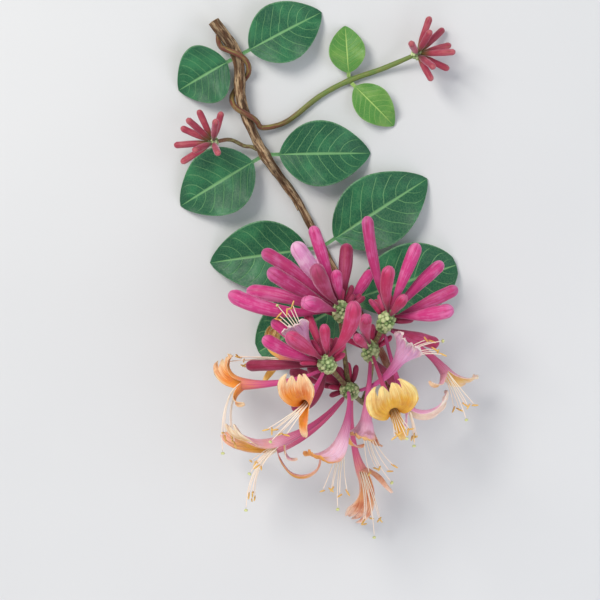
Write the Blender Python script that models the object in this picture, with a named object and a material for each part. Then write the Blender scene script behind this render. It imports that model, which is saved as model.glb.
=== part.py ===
"""A cut flowering length of honeysuckle vine, lying on a flat surface and seen from above.

The frame is metres with +Z up, +Y towards the cut end and the origin on the surface, under the
middle of the piece. A place is written as (u, v, height): u and v are pixels of the 600 by 600
photograph, which looks straight down on the piece, and height is in millimetres above the surface.
"""

import math
from typing import NamedTuple

import bmesh
import bpy
import numpy as np
from mathutils import Vector

# Driving dimensions
MM = 0.001
PIXEL = 0.40 * MM
MIDDLE_U = 326.5
MIDDLE_V = 268.0
GAP = 0.3 * MM

# Whorl knobs, which carry the flowers of one whorl
KNOB_RADIUS = 3.4 * MM
KNOB_HALF = 5.6 * MM
TIER = 2.8 * MM

# Buds: a thin tube that swells to a club
BUD_FOOT = 0.62 * MM
BUD_NECK = 1.25 * MM
BUD_STATIONS = (0, 0.12, 0.26, 0.42, 0.6, 0.8, 0.91, 0.97, 1)

# Open flowers
TUBE_FOOT = 0.65 * MM
TUBE_RINGS = 6
LIP_RINGS = 6
LIP_THICK = 0.8 * MM
THROAT = 2.4 * MM
ROUND_ANGLES = (-72, -36, 0, 36, 72, 108, 144, 180, 216, 252)
ACROSS = (-1, -0.5, 0, 0.5, 1)

# Stamens and style
FILAMENT = 0.28 * MM
ANTHER = 0.6 * MM
STIGMA = 0.75 * MM

# Leaves
BLADE_THICK = 0.5 * MM
BLADE_ROWS = 8
PETIOLE_HALF = 0.9 * MM

# Stems
WOOD_RADIUS = 2.4 * MM
VINE_RADIUS = 1.5 * MM
SHOOT_RADIUS = 1.1 * MM
STALK_RADIUS = 1.1 * MM
TWINE_TURNS = 1.75
TWINE_PHASE = -0.375 * math.pi


class Whorl(NamedTuple):
    """A knob: its centre and the direction in which its stalk grows, as right, up, towards the eye."""

    centre: tuple
    axis: tuple


class Bud(NamedTuple):
    """An unopened flower: its whorl and tier, the place of its tip, its girth in mm and its bow."""

    whorl: str
    tier: float
    tip: tuple
    girth: float
    bow: tuple = (0.0, 0.0)


class Lip(NamedTuple):
    """A lip: length and width in mm, and its lean from the tube and further turn in degrees."""

    length: float
    width: float
    lean: float
    turn: float


class Flower(NamedTuple):
    """An open flower: a tube by way of one place to its mouth, and the side its upper lip is on."""

    whorl: str
    tier: float
    via: tuple
    mouth: tuple
    back: tuple
    upper: Lip
    lower: Lip
    stamens: tuple


class Leaf(NamedTuple):
    """A blade: its node on the stem, the place of its tip, and in mm width, rise and stem radius."""

    node: tuple
    tip: tuple
    width: float
    rise: float
    stem: float


WHORLS = {
    "a": Whorl((341, 312, 34), (-0.10, 0.80, 0.60)),
    "b": Whorl((386, 322, 30), (0.35, 0.75, 0.55)),
    "c": Whorl((327, 364, 41), (-0.25, 0.40, 0.88)),
    "d": Whorl((350, 391, 25), (-0.35, 0.20, 0.90)),
    "e": Whorl((371, 352, 22), (0.00, 0.70, 0.70)),
}

BUDS = {
    "bud_a1": Bud("a", 0, (312, 226, 36), 5),
    "bud_a2": Bud("a", 1, (294, 243, 50.1), 6.8, (0.02, 0.05)),
    "bud_a3": Bud("a", 0, (262, 251, 30), 5.6, (-0.04, 0.04)),
    "bud_a4": Bud("a", 0.2, (268.2, 269.7, 45.5), 6.2, (0.02, 0.03)),
    "bud_a5": Bud("a", 0.15, (228.8, 292.9, 37.9), 6.2, (0.09, 0.07)),
    "bud_a6": Bud("a", -1, (246, 291, 22), 6, (-0.05, 0)),
    "bud_a8": Bud("a", 0.49, (315.4, 265.9, 61.9), 6.4, (0.04, 0.04)),
    "bud_a10": Bud("a", -1, (347, 243, 25), 5.6),
    "bud_a11": Bud("a", 0, (304, 302, 58), 6.2),
    "bud_b1": Bud("b", 1, (367, 216, 36), 4.8, (0.03, 0)),
    "bud_b2": Bud("b", 1, (389, 267, 52), 5.4, (0.05, 0.05)),
    "bud_b3": Bud("b", 0, (418, 243, 31), 5.4),
    "bud_b4": Bud("b", 0, (444, 262, 22), 5.2, (0.03, 0)),
    "bud_b5": Bud("b", 0, (458, 288, 33), 5.2),
    "bud_b6": Bud("b", 1, (452, 309, 46), 6, (-0.04, 0)),
    "bud_c1": Bud("c", -1, (272, 320, 34), 4.6),
    "bud_c2": Bud("c", 1, (287, 333, 58), 6.2, (0, 0.06)),
    "bud_c3": Bud("c", -0.18, (263, 337, 46), 5.4, (0.05, 0)),
    "bud_c6": Bud("c", 1, (352.5, 301.6, 61.3), 6.4, (-0.1, 0)),
    "bud_c8": Bud("c", -1, (292, 409, 24), 6, (0.14, 0)),
    "bud_e1": Bud("e", 0.94, (366.4, 316.9, 46.6), 5, (0.05, -0.03)),
    "bud_a7": Bud("a", -0.61, (318, 257.8, 20.4), 4.6, (0, 0.04)),
    "bud_a9": Bud("a", 0, (336, 270, 40.7), 4.6),
    "bud_c5": Bud("c", -0.13, (303.1, 304.1, 33), 3.6, (-0.01, -0.02)),
    "bud_c7": Bud("c", -1, (323.9, 324.5, 53.9), 4.2, (0.01, 0.01)),
    "bud_a14": Bud("a", -1, (372, 270, 22), 4.6),
    "bud_d1": Bud("d", -1, (308.1, 366.1, 30.1), 6.4),
    "bud_b7": Bud("b", -1, (440, 345, 11.6), 5.2),
    "bud_c4": Bud("c", -0.46, (246.2, 366, 23.2), 4.6, (-0.01, 0.04)),
    "bud_d2": Bud("d", -0.07, (290, 372.1, 8.4), 4.6),
    "bud_e2": Bud("e", -1, (404, 392, 4), 4.6),
    "bud_e3": Bud("e", 0, (356, 336, 40), 4),
    "bud_b8": Bud("b", 0, (404, 296, 46), 4.4),
}

FLOWERS = {
    "flower_left": Flower(
        "c", -1, (284, 386, 42), (244, 384, 34), (-0.2, 0.6, -0.78),
        Lip(21, 11, 8, 70), Lip(15, 3.8, 30, 170), (227, 447, 30),
    ),
    "flower_front": Flower(
        "c", 0, (314, 392, 44), (304, 403, 56), (-0.1, 0.94, 0.3),
        Lip(16, 15, 25, 85), Lip(14, 4, 20, 100), (272, 434, 58),
    ),
    "flower_long": Flower(
        "d", 0, (316, 428, 37), (284, 440, 37), (-0.1, 0.9, 0.4),
        Lip(24, 10, 0, 75), Lip(12, 3.6, 20, 160), (252, 468, 38),
    ),
    "flower_hook": Flower(
        "d", 0, (314, 440, 22), (276, 449, 22), (-0.1, 0.95, -0.3),
        Lip(23, 9, 0, 55), Lip(27, 4.4, 70, 190), (248, 505, 22),
    ),
    "flower_fan": Flower(
        "d", 1, (351.7, 405, 43.9), (343.4, 434.6, 43.9), (-0.75, 0, 0.66),
        Lip(19, 15, 5, 105), Lip(13, 3.8, 20, 110), (334, 500, 38),
    ),
    "flower_bell": Flower(
        "e", -1, (369.4, 384.7, 36.3), (366, 420, 33.5), (-0.45, 0.1, 0.88),
        Lip(10, 15, 13, 99), Lip(22, 4.6, 15, 60), (386, 478, 25.5),
    ),
    "flower_peach": Flower(
        "d", -1, (350, 444, 17), (362, 472, 17), (-0.72, 0, -0.68),
        Lip(26, 10, 0, 95), Lip(18, 3.4, 45, -30), (374, 532, 15),
    ),
    "flower_wide": Flower(
        "d", -1, (382.1, 386.1, 30.6), (398.9, 360.2, 36.8), (0, 0.3, 0.95),
        Lip(15, 14, 0, 45), Lip(15, 4, 20, 150), (440, 345, 32.9),
    ),
    "flower_gold": Flower(
        "e", 0.59, (386, 396, 40), (393, 411, 54), (-0.3, 0.9, 0.3),
        Lip(19, 21, 25, 80), Lip(13, 4.2, 20, 110), (402.2, 434.2, 58.7),
    ),
    "flower_pale": Flower(
        "b", -1, (398, 388, 24), (411, 412, 28), (0.85, 0.45, -0.3),
        Lip(17, 10, 50, 100), Lip(13, 4, 10, 60), (415, 442, 30),
    ),
    "flower_right": Flower(
        "b", -1, (428, 348, 26), (446, 372, 24), (0.7, -0.1, -0.65),
        Lip(16, 10, 5, 80), Lip(14, 3.8, 20, 160), (468, 414, 22),
    ),
    "flower_blush": Flower(
        "c", 0, (312, 352, 44), (304, 339, 46), (-0.2, 0, 0.97),
        Lip(11, 12, 0, 45), Lip(9, 3.4, 20, 120), (282, 308, 44),
    ),
    "flower_cream": Flower(
        "c", -1, (302, 362.4, 31.5), (282.8, 359.7, 24.7), (-0.1, 0.8, -0.58),
        Lip(16, 11, 10, 80), Lip(14, 3.8, 19, 90), (234, 361.6, 17.5),
    ),
}

VINE_PATH = (
    (212, 16, 5.2), (236, 52, 5.2), (241, 100, 5.2), (264, 152, 4.6), (298, 200, 2.8),
    (322, 246, 1.8), (350, 296, 1.55), (374, 336, 1.55), (390, 372, 2.2), (384, 400, 5.5), (366, 404, 10.0),
)
TWINE_START = 0.03
TWINE_END = 0.27
SHOOT_PATH = ((286, 118, 1.6), (320, 92, 1.3), (350, 76, 1.3), (384, 64, 2.2), (413.6, 52, 6.2))

LEAVES = {
    "leaf_1": Leaf((236, 52, 5.2), (176, 86, 0.25), 25, 3.0, 2.35),
    "leaf_2": Leaf((236, 52, 5.2), (322, 6, 0.25), 25, 3.0, 2.35),
    "leaf_3": Leaf((264, 152, 4.6), (178, 204, 0.25), 28, 4.0, 2.05),
    "leaf_4": Leaf((264, 152, 4.6), (372, 150, 0.25), 27, 4.0, 2.2),
    "leaf_5": Leaf((322, 246, 1.8), (208, 262, 0.25), 28, 4.0, 1.7),
    "leaf_6": Leaf((322, 246, 1.8), (430, 176, 0.25), 30, 4.0, 1.7),
    "leaf_7": Leaf((350, 76, 1.3), (396, 122, 0.25), 15, 3.0, 1.1),
    "leaf_8": Leaf((350, 76, 1.3), (346, 20, 0.25), 15, 3.0, 1.1),
}
JOINED_LEAF = {
    "collar": (352, 300, 3.65), "left": (252, 356, 0.25), "right": (466, 262, 0.25), "width": 30,
}

YOUNG_CLUSTERS = {
    "young_cluster_right": ((419, 50, 7.6), (0.75, 0.25, 0.6)),
    "young_cluster_left": ((212, 140, 12.0), (-0.65, 0.25, 0.7)),
}
YOUNG_KNOB = 2.3 * MM
YOUNG_BUDS = 9
YOUNG_LENGTH = 17 * MM
YOUNG_GIRTH = 1.4 * MM
STALKS = (
    ((364.9, 404.3, 10.5), "d", (0, -1, -1)),
    ((363.9, 403, 11.7), "e", (3, 0, 0)),
    ("d", "c", (0, 0, 0)),
    ("d", "a", (-1, 0, -4)),
    ("e", "b", (0, 0, 0)),
)
YOUNG_STALK = ((250.6, 144, 5.0), (243, 143, 5.2), (229, 137, 7.0), (214, 139.5, 11.2))

COLOURS = {
    "bark": ((0.23, 0.13, 0.07), 0.85),
    "green_stem": ((0.25, 0.22, 0.07), 0.6),
    "leaf": ((0.03, 0.16, 0.06), 0.5),
    "bud": ((0.62, 0.06, 0.22), 0.5),
    "petal": ((0.80, 0.36, 0.42), 0.5),
    "filament": ((0.90, 0.86, 0.66), 0.5),
    "knob": ((0.20, 0.35, 0.10), 0.6),
}


def at(place):
    """The point in metres of a place (u, v, height)."""
    u, v, height = place
    return np.array([(u - MIDDLE_U) * PIXEL, (MIDDLE_V - v) * PIXEL, height * MM])


def unit(vector):
    """The vector at length 1."""
    vector = np.asarray(vector, float)
    return vector / np.linalg.norm(vector)


def quadratic(start, via, end, shares):
    """Points, at shares of the way, of the curve from start to end that is drawn towards via."""
    t = np.asarray(shares, float)[:, None]
    return (1 - t) ** 2 * start + 2 * t * (1 - t) * via + t**2 * end


def smooth_path(points, count):
    """Points evenly spread along the smooth curve that passes through all the given points."""
    points = np.asarray(points, float)
    ends = np.vstack([2 * points[0] - points[1], points, 2 * points[-1] - points[-2]])
    t = np.linspace(0, len(points) - 1, 24 * len(points))
    k = np.minimum(t.astype(int), len(points) - 2)
    f = (t - k)[:, None]
    a, b, c, d = (ends[k + i] for i in range(4))
    fine = 0.5 * (2 * b + (c - a) * f + (2 * a - 5 * b + 4 * c - d) * f**2 + (3 * b - a - 3 * c + d) * f**3)
    run = np.concatenate([[0], np.cumsum(np.linalg.norm(np.diff(fine, axis=0), axis=1))])
    even = np.linspace(0, run[-1], count)
    return np.stack([np.interp(even, run, fine[:, i]) for i in range(3)], axis=1)


def tangents(points):
    """Unit directions along a run of points."""
    steps = np.gradient(points, axis=0)
    return steps / np.linalg.norm(steps, axis=1)[:, None]


def material(name):
    """The named plain material, made once."""
    found = bpy.data.materials.get(name)
    if found:
        return found
    colour, roughness = COLOURS[name]
    made = bpy.data.materials.new(name)
    made.use_nodes = True
    shader = made.node_tree.nodes["Principled BSDF"]
    shader.inputs["Base Color"].default_value = (*colour, 1.0)
    shader.inputs["Roughness"].default_value = roughness
    shader.inputs["Metallic"].default_value = 0.0
    return made


def add_object(name, data, finish):
    """Links new data to the scene as the named object with one material."""
    made = bpy.data.objects.new(name, data)
    made.data.materials.append(material(finish))
    bpy.context.scene.collection.objects.link(made)
    return made


def curve_of(name, strands, resolution):
    """A curve whose strands, each (points, radii), are round rods with closed ends."""
    curve = bpy.data.curves.new(name, "CURVE")
    curve.dimensions = "3D"
    curve.bevel_depth = 1.0
    curve.bevel_resolution = resolution
    curve.use_fill_caps = True
    curve.twist_mode = "MINIMUM"
    for points, radii in strands:
        spline = curve.splines.new("POLY")
        spline.points.add(len(points) - 1)
        for knot, point, radius in zip(spline.points, points, radii):
            knot.co = (*point, 1.0)
            knot.radius = radius
    return curve


def rod(name, strand, finish, resolution):
    """One rod, from (points, radii), as a curve object."""
    return add_object(name, curve_of(name, [strand], resolution), finish)


def rods_mesh(name, strands, resolution):
    """The same rods as one mesh of separate shells, for a Boolean to join."""
    guide = bpy.data.objects.new(name, curve_of(name, strands, resolution))
    mesh = bpy.data.meshes.new_from_object(guide)
    bpy.data.objects.remove(guide, do_unlink=True)
    return mesh


def join(base, name, mesh, finish):
    """Joins a hidden helper mesh to the base object by a Boolean."""
    helper = add_object(name, mesh, finish)
    helper.hide_render = True
    helper.display_type = "WIRE"
    union = base.modifiers.new(name, "BOOLEAN")
    union.operation = "UNION"
    union.solver = "EXACT"
    union.object = helper


def knob_surface(whorl, tier, target):
    """Where a line from the whorl's tier to the target leaves the knob, with a gap added."""
    centre = at(WHORLS[whorl].centre)
    axis = unit(WHORLS[whorl].axis)
    start = tier * TIER * axis
    way = unit(target - centre - start)

    def squeezed(vector):
        along = vector @ axis
        return (vector - along * axis) / KNOB_RADIUS + along * axis / KNOB_HALF

    p, d = squeezed(start), squeezed(way)
    reach = (-(p @ d) + math.sqrt((p @ d) ** 2 - (d @ d) * (p @ p - 1))) / (d @ d)
    return centre + start + (reach + GAP) * way


def bud_radii(t, length, girth):
    """Radius of a bud along its length t: a thin neck, a club and a rounded tip."""
    swell = np.clip((t - 0.12) / 0.6, 0, 1)
    swell = swell * swell * (3 - 2 * swell)
    neck = BUD_FOOT + (BUD_NECK - BUD_FOOT) * np.minimum(t / 0.3, 1)
    club = neck + (girth / 2 - neck) * swell
    left = np.clip((1 - t) * length / (girth * 0.62), 0, 1)
    return club * np.sqrt(np.clip(1 - (1 - left) ** 2, 0.03, 1))


def bud_strand(bud):
    """The centreline and radii of one bud."""
    tip = at(bud.tip)
    foot = knob_surface(bud.whorl, bud.tier, tip)
    chord = tip - foot
    side = unit(np.cross([0, 0, 1], chord))
    lift = unit(np.cross(chord, side))
    via = (foot + tip) / 2 + 2 * np.linalg.norm(chord) * (bud.bow[0] * side + bud.bow[1] * lift)
    share = np.array(BUD_STATIONS)
    points = quadratic(foot, via, tip, share)
    return points, bud_radii(share, np.linalg.norm(chord), bud.girth * MM)


def make_buds():
    """Each unopened flower of the head as its own node."""
    for name, bud in BUDS.items():
        rod(name, bud_strand(bud), "bud", 2)


def skin(rings):
    """A closed bmesh over a list of rings, each a run of points, with flat ends."""
    made = bmesh.new()
    loops = [[made.verts.new(point) for point in ring] for ring in rings]
    sides = len(loops[0])
    for near, far in zip(loops, loops[1:]):
        for i in range(sides):
            j = (i + 1) % sides
            made.faces.new((near[i], near[j], far[j], far[i]))
    made.faces.new(loops[0][::-1])
    made.faces.new(loops[-1])
    bmesh.ops.recalc_face_normals(made, faces=made.faces)
    return made


def round_ring(centre, side, normal, radius):
    """Ten points round the centre, five of them on the side of the normal."""
    turn = np.radians(ROUND_ANGLES)[:, None]
    return centre + radius * (np.sin(turn) * side + np.cos(turn) * normal)


def gutter_ring(centre, side, normal, half_width, bend, thick):
    """Ten points of a gutter's section, whose outer middle is the centre and whose rims bend in."""
    turn = np.array(ACROSS)[:, None] * bend
    away = np.sin(turn) * side + np.cos(turn) * normal
    radius = half_width / bend
    outer = centre + radius * (away - normal)
    return np.vstack([outer, (outer - thick * away)[::-1]])


def lip_line(start, forward, outward, lip, count):
    """Centres and outer normals of a lip that leans from forward and turns on towards outward."""
    share = np.linspace(0, 1, count)
    angle = np.radians(lip.lean + lip.turn * share**1.2)
    ways = np.cos(angle)[:, None] * forward + np.sin(angle)[:, None] * outward
    normals = np.cos(angle)[:, None] * outward - np.sin(angle)[:, None] * forward
    step = lip.length * MM / (count - 1)
    middles = (ways[1:] + ways[:-1]) / 2 * step
    return start + np.vstack([np.zeros(3), np.cumsum(middles, axis=0)]), normals


def flower_frame(flower):
    """The tube's points, and the forward, outward and sideways directions at its mouth."""
    mouth, via = at(flower.mouth), at(flower.via)
    foot = knob_surface(flower.whorl, flower.tier, via)
    tube = quadratic(foot, via, mouth, np.linspace(0, 1, TUBE_RINGS))
    forward = unit(mouth - via)
    back = np.asarray(flower.back, float)
    outward = unit(back - (back @ forward) * forward)
    return tube, forward, outward, np.cross(forward, outward)


def tube_radii(count):
    """Radius of a flower tube from its foot to its flared throat."""
    t = np.linspace(0, 1, count)
    return TUBE_FOOT + (THROAT - TUBE_FOOT) * (0.35 * t + 0.65 * t**3)


def upper_lip(flower, count):
    """The upper lip's middle line, normals, half-widths and bends, at a number of places."""
    tube, forward, outward, side = flower_frame(flower)
    start = tube[-1] + outward * THROAT + forward * 0.4 * MM
    centres, normals = lip_line(start, forward, outward, flower.upper, count)
    share = np.linspace(0, 1, count)
    widest = flower.upper.width * MM / 2
    halves = 1.9 * THROAT + (widest - 1.9 * THROAT) * np.minimum(share / 0.5, 1)
    halves *= np.sqrt(np.clip(1.06 - np.clip((share - 0.55) / 0.45, 0, 1) ** 3, 0.2, 1))
    return centres, normals, halves, 1.9 - 1.5 * np.minimum(share / 0.6, 1)


def corolla_rings(flower):
    """Rings of the tube and then of the upper lip, which is a gutter that opens out."""
    tube, forward, outward, side = flower_frame(flower)
    ways = tangents(tube)
    ways[-1] = forward
    rings = []
    for point, way, radius in zip(tube, ways, tube_radii(TUBE_RINGS)):
        across = unit(side - (side @ way) * way)
        rings.append(round_ring(point, across, np.cross(across, way), radius))
    for centre, normal, half, bend in zip(*upper_lip(flower, LIP_RINGS)):
        rings.append(gutter_ring(centre, side, normal, half, bend, LIP_THICK))
    return rings


def strap_rings(flower):
    """Rings of the lower lip, rooted inside the throat."""
    tube, forward, outward, side = flower_frame(flower)
    root = tube[-1] - outward * THROAT * 0.7 - forward * 2.2 * MM
    centres, normals = lip_line(root, forward, -outward, flower.lower, LIP_RINGS + 1)
    share = np.linspace(0, 1, LIP_RINGS + 1)
    widths = flower.lower.width * MM / 2 * np.sqrt(np.clip(1.12 - share**4, 0.1, 1))
    widths *= np.minimum(0.55 + 2 * share, 1)
    return [
        gutter_ring(centre + normal * LIP_THICK / 2, side, normal, width, 0.6, LIP_THICK)
        for centre, normal, width in zip(centres, normals, widths)
    ]


def to_mesh(name, made):
    """A named mesh from a bmesh, which is freed."""
    mesh = bpy.data.meshes.new(name)
    made.to_mesh(mesh)
    made.free()
    return mesh


def make_flowers():
    """Each open flower as one piece: tube and upper lip, joined with lower lip and stamens."""
    for name, flower in FLOWERS.items():
        corolla = add_object(name, to_mesh(name, skin(corolla_rings(flower))), "petal")
        lower = to_mesh(name + "_lower_lip", skin(strap_rings(flower)))
        join(corolla, lower.name, lower, "petal")
        stamens = rods_mesh(name + "_stamens", stamen_strands(flower), 0)
        join(corolla, stamens.name, stamens, "filament")
        corolla.data.shade_smooth()


def stamen_strands(flower):
    """The five stamens and the style of one flower, each (points, radii)."""
    tube, forward, outward, side = flower_frame(flower)
    start = tube[-1] - forward * 1.2 * MM - outward * 0.4 * MM
    reach = at(flower.stamens) - start
    length = np.linalg.norm(reach)
    strands = []
    for k in range(6):
        fan = (k - 2.5) / 2.5
        root = start + side * fan * 1.4 * MM + outward * (0.25 - (k % 2) * 0.5) * MM
        is_style = k == 2
        size = (1.12 if is_style else 0.84 + 0.05 * (k % 3)) * length
        way = unit(unit(reach) + 0.20 * fan * side + (0.05 if k % 2 else -0.05) * outward)
        tip = root + size * way
        via = root + forward * size * 0.4 + (tip - root) * 0.12
        points = quadratic(root, via, tip, np.linspace(0, 1, 5))
        radii = np.full(5, FILAMENT)
        radii[-2:] = (STIGMA, STIGMA * 0.6) if is_style else (ANTHER, ANTHER * 0.7)
        points[-2] = points[-1] - unit(points[-1] - points[-2]) * 1.6 * MM
        strands.append((points, radii))
    return strands


def make_flower_stalk():
    """The forked stalk of the head, joined with its five whorl knobs into one piece."""
    made = bmesh.new()
    for whorl in WHORLS.values():
        ball = bmesh.ops.create_icosphere(made, subdivisions=2, radius=1.0)["verts"]
        bmesh.ops.scale(made, vec=(KNOB_RADIUS, KNOB_RADIUS, KNOB_HALF), verts=ball)
        turn = Vector(whorl.axis).to_track_quat("Z", "Y").to_matrix()
        bmesh.ops.rotate(made, matrix=turn, verts=ball)
        bmesh.ops.translate(made, vec=at(whorl.centre), verts=ball)
    stalk = add_object("flower_stalk", to_mesh("flower_stalk", made), "green_stem")
    for i, (start, end, bow) in enumerate(STALKS):
        first, last = (at(WHORLS[e].centre) if e in WHORLS else at(e) for e in (start, end))
        via = (first + last) / 2 + np.array(bow) * MM
        strand = quadratic(first, via, last, np.linspace(0, 1, 6)), np.full(6, STALK_RADIUS)
        name = "stalk_part_" + str(i + 1)
        join(stalk, name, rods_mesh(name, [strand], 1), "green_stem")
    stalk.data.shade_smooth()


def make_stems():
    """The vine, its twining side shoot, and the stalks between the whorls."""
    vine = smooth_path([at(p) for p in VINE_PATH], 44)
    share = np.linspace(0, 1, 44)
    radii = WOOD_RADIUS + (VINE_RADIUS - WOOD_RADIUS) * np.minimum(share / 0.55, 1)
    rod("vine_stem", (vine, radii), "bark", 2)

    fine = smooth_path([at(p) for p in VINE_PATH], 600)
    along = np.linspace(TWINE_START, TWINE_END, 26)
    centre = fine[(along * 599).astype(int)]
    girth = WOOD_RADIUS + (VINE_RADIUS - WOOD_RADIUS) * along / 0.55
    way = tangents(centre)
    across = np.cross(way, [0, 0, 1])
    across /= np.linalg.norm(across, axis=1)[:, None]
    above = np.cross(across, way)
    phase = TWINE_PHASE + TWINE_TURNS * 2 * math.pi * np.linspace(0, 1, 26)
    ring = np.cos(phase)[:, None] * across + np.sin(phase)[:, None] * above
    twine = centre + ring * (girth + SHOOT_RADIUS + 0.55 * MM)[:, None]
    shoot = smooth_path([*twine, *(at(p) for p in SHOOT_PATH)], 52)
    rod("twining_shoot", (shoot, np.full(52, SHOOT_RADIUS)), "green_stem", 1)


def young_strands(centre, axis):
    """Small buds spread about an axis on a golden-angle spiral, each (points, radii)."""
    axis = unit(axis)
    side = unit(np.cross(axis, [0, 0, 1]))
    up = np.cross(side, axis)
    strands = []
    for k in range(YOUNG_BUDS):
        spread = math.radians(14 + 52 * math.sqrt(k / (YOUNG_BUDS - 1)))
        turn = k * math.radians(137.5)
        way = math.cos(spread) * axis + math.sin(spread) * (math.cos(turn) * side + math.sin(turn) * up)
        foot = centre + 0.7 * YOUNG_KNOB * way
        length = YOUNG_LENGTH * (1 - 0.12 * (k % 3))
        tip = foot + length * way
        t = np.linspace(0, 1, 6)
        radii = bud_radii(t, length, 2 * YOUNG_GIRTH)
        strands.append((foot + t[:, None] * (tip - foot), radii))
    return strands


def make_young_clusters():
    """Small clusters in bud, each one piece with its knob and, on the left, its stalk."""
    for name, (centre, axis) in YOUNG_CLUSTERS.items():
        made = bmesh.new()
        ball = bmesh.ops.create_icosphere(made, subdivisions=2, radius=YOUNG_KNOB)["verts"]
        bmesh.ops.translate(made, vec=at(centre), verts=ball)
        knob = add_object(name, to_mesh(name, made), "bud")
        buds = rods_mesh(name + "_buds", young_strands(at(centre), axis), 0)
        join(knob, buds.name, buds, "bud")
        knob.data.shade_smooth()
    stalk = smooth_path([at(p) for p in YOUNG_STALK], 8), np.full(8, 0.8 * MM)
    mesh = rods_mesh("young_stalk", [stalk], 1)
    join(bpy.data.objects["young_cluster_left"], mesh.name, mesh, "green_stem")


def blade_profile(t):
    """Half-width of a leaf along its length t, as a share of the widest, after a short stalk."""
    along = np.clip((t - 0.09) / 0.91, 0, 1)
    return np.sin(math.pi * along**0.85) ** 0.72


def blade(name, spine, half_widths):
    """A thin leaf over a spine, with its sides a little raised, as one closed solid."""
    ways = tangents(spine)
    made = bmesh.new()
    rows = []
    for point, way, half in zip(spine, ways, half_widths):
        side = unit(np.cross(way, [0, 0, 1]))
        lifts = ((-1, 1.0), (-0.5, 0.35), (0, 0.0), (0.5, 0.35), (1, 1.0))
        rows.append([
            made.verts.new(point + x * half * side + lift * half * 0.16 * np.array([0, 0, 1]))
            for x, lift in lifts
        ])
    for near, far in zip(rows, rows[1:]):
        for i in range(len(near) - 1):
            made.faces.new((near[i], near[i + 1], far[i + 1], far[i]))
    bmesh.ops.recalc_face_normals(made, faces=made.faces)
    leaf = add_object(name, to_mesh(name, made), "leaf")
    thick = leaf.modifiers.new("thickness", "SOLIDIFY")
    thick.thickness = BLADE_THICK
    thick.offset = 0.0
    leaf.data.shade_smooth()


def make_leaves():
    """The opposite pairs, and the top pair that is joined round the stem."""
    for name, leaf in LEAVES.items():
        node, tip = at(leaf.node), at(leaf.tip)
        level = unit((tip - node) * [1, 1, 0])
        foot = node + level * (leaf.stem * MM + 1.5 * GAP)
        via = (foot + tip) / 2 + np.array([0, 0, 2 * leaf.rise * MM])
        spine = quadratic(foot, via, tip, np.linspace(0, 1, BLADE_ROWS + 1))
        share = np.linspace(0, 1, BLADE_ROWS + 1)
        halves = np.maximum(blade_profile(share) * leaf.width * MM / 2, PETIOLE_HALF)
        halves[-1] = 0.5 * MM
        blade(name, spine, halves)
    collar, left, right = (at(JOINED_LEAF[key]) for key in ("collar", "left", "right"))
    half = JOINED_LEAF["width"] * MM / 2
    lift = np.array([0, 0, 5.0 * MM])
    share = np.linspace(0, 1, BLADE_ROWS + 1)
    west = quadratic(left, (left + collar) / 2 + lift, collar, share)
    east = quadratic(collar, (collar + right) / 2 + lift, right, share)
    spine = np.vstack([west, east[1:]])
    profile = np.maximum(blade_profile(share), 0.28 * share)
    halves = np.concatenate([profile, profile[-2::-1]]) * half
    halves[[0, -1]] = 0.5 * MM
    blade("joined_leaves", spine, halves)


def main():
    """Clears the scene and makes every piece of the vine."""
    for old in list(bpy.data.objects):
        bpy.data.objects.remove(old, do_unlink=True)
    make_stems()
    make_flower_stalk()
    make_buds()
    make_flowers()
    make_young_clusters()
    make_leaves()


main()
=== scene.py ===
"""Looks of a cut flowering length of honeysuckle vine, lying on a pale surface and seen from above.

Lengths are metres. A place is written as (u, v, height): u and v are places across and down the
600 by 600 photograph, and height is in millimetres above the surface, as in the solid model.
"""

import logging
import math
from dataclasses import dataclass, field
from enum import Enum
from typing import Any, Callable, NamedTuple

import bmesh
import bpy
import numpy as np
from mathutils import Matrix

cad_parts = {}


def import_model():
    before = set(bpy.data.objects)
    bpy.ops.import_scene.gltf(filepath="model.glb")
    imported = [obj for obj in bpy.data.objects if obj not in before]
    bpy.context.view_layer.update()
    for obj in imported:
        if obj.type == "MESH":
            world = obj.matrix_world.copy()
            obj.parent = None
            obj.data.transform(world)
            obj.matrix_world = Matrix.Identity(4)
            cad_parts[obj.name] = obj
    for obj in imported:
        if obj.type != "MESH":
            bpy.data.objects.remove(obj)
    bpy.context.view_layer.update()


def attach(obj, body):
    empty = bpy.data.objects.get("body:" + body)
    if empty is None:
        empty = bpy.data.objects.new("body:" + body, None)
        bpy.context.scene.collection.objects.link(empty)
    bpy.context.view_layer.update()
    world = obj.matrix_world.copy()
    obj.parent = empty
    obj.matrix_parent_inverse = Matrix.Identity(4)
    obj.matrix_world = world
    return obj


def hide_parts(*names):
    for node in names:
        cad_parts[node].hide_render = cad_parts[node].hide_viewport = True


Array = np.ndarray
Place = tuple[float, float, float]
Rgb = tuple[int, int, int]
Stretch = tuple[float, float] | None
Socket = bpy.types.NodeSocket

LOG = logging.getLogger("honeysuckle")

MM = 0.001
PIXEL = 0.40 * MM
MIDDLE_U = 326.5
MIDDLE_V = 268.0
GAP = 0.3 * MM
FOOT_IN = 0.4 * MM
UPWARDS = (0.0, 0.0, 1.0)

# Sizes that the solid model has too
KNOB_RADIUS = 3.4 * MM
KNOB_HALF = 5.6 * MM
TIER = 2.8 * MM
BUD_FOOT = 0.62 * MM
BUD_NECK = 1.25 * MM
TUBE_FOOT = 0.65 * MM
THROAT = 2.4 * MM
THROAT_BEND = 1.9
YOUNG_KNOB = 2.3 * MM
YOUNG_LENGTH = 17 * MM
YOUNG_GIRTH = 1.4 * MM
WOOD_RADIUS = 2.4 * MM
VINE_RADIUS = 1.5 * MM
SHOOT_RADIUS = 1.1 * MM
STALK_RADIUS = 1.1 * MM
GOLDEN_TURN = math.radians(137.5)


class Whorl(NamedTuple):
    """A knob that carries one whorl: its centre, and its axis as right, up, towards the eye."""

    centre: Place
    axis: Place


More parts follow.
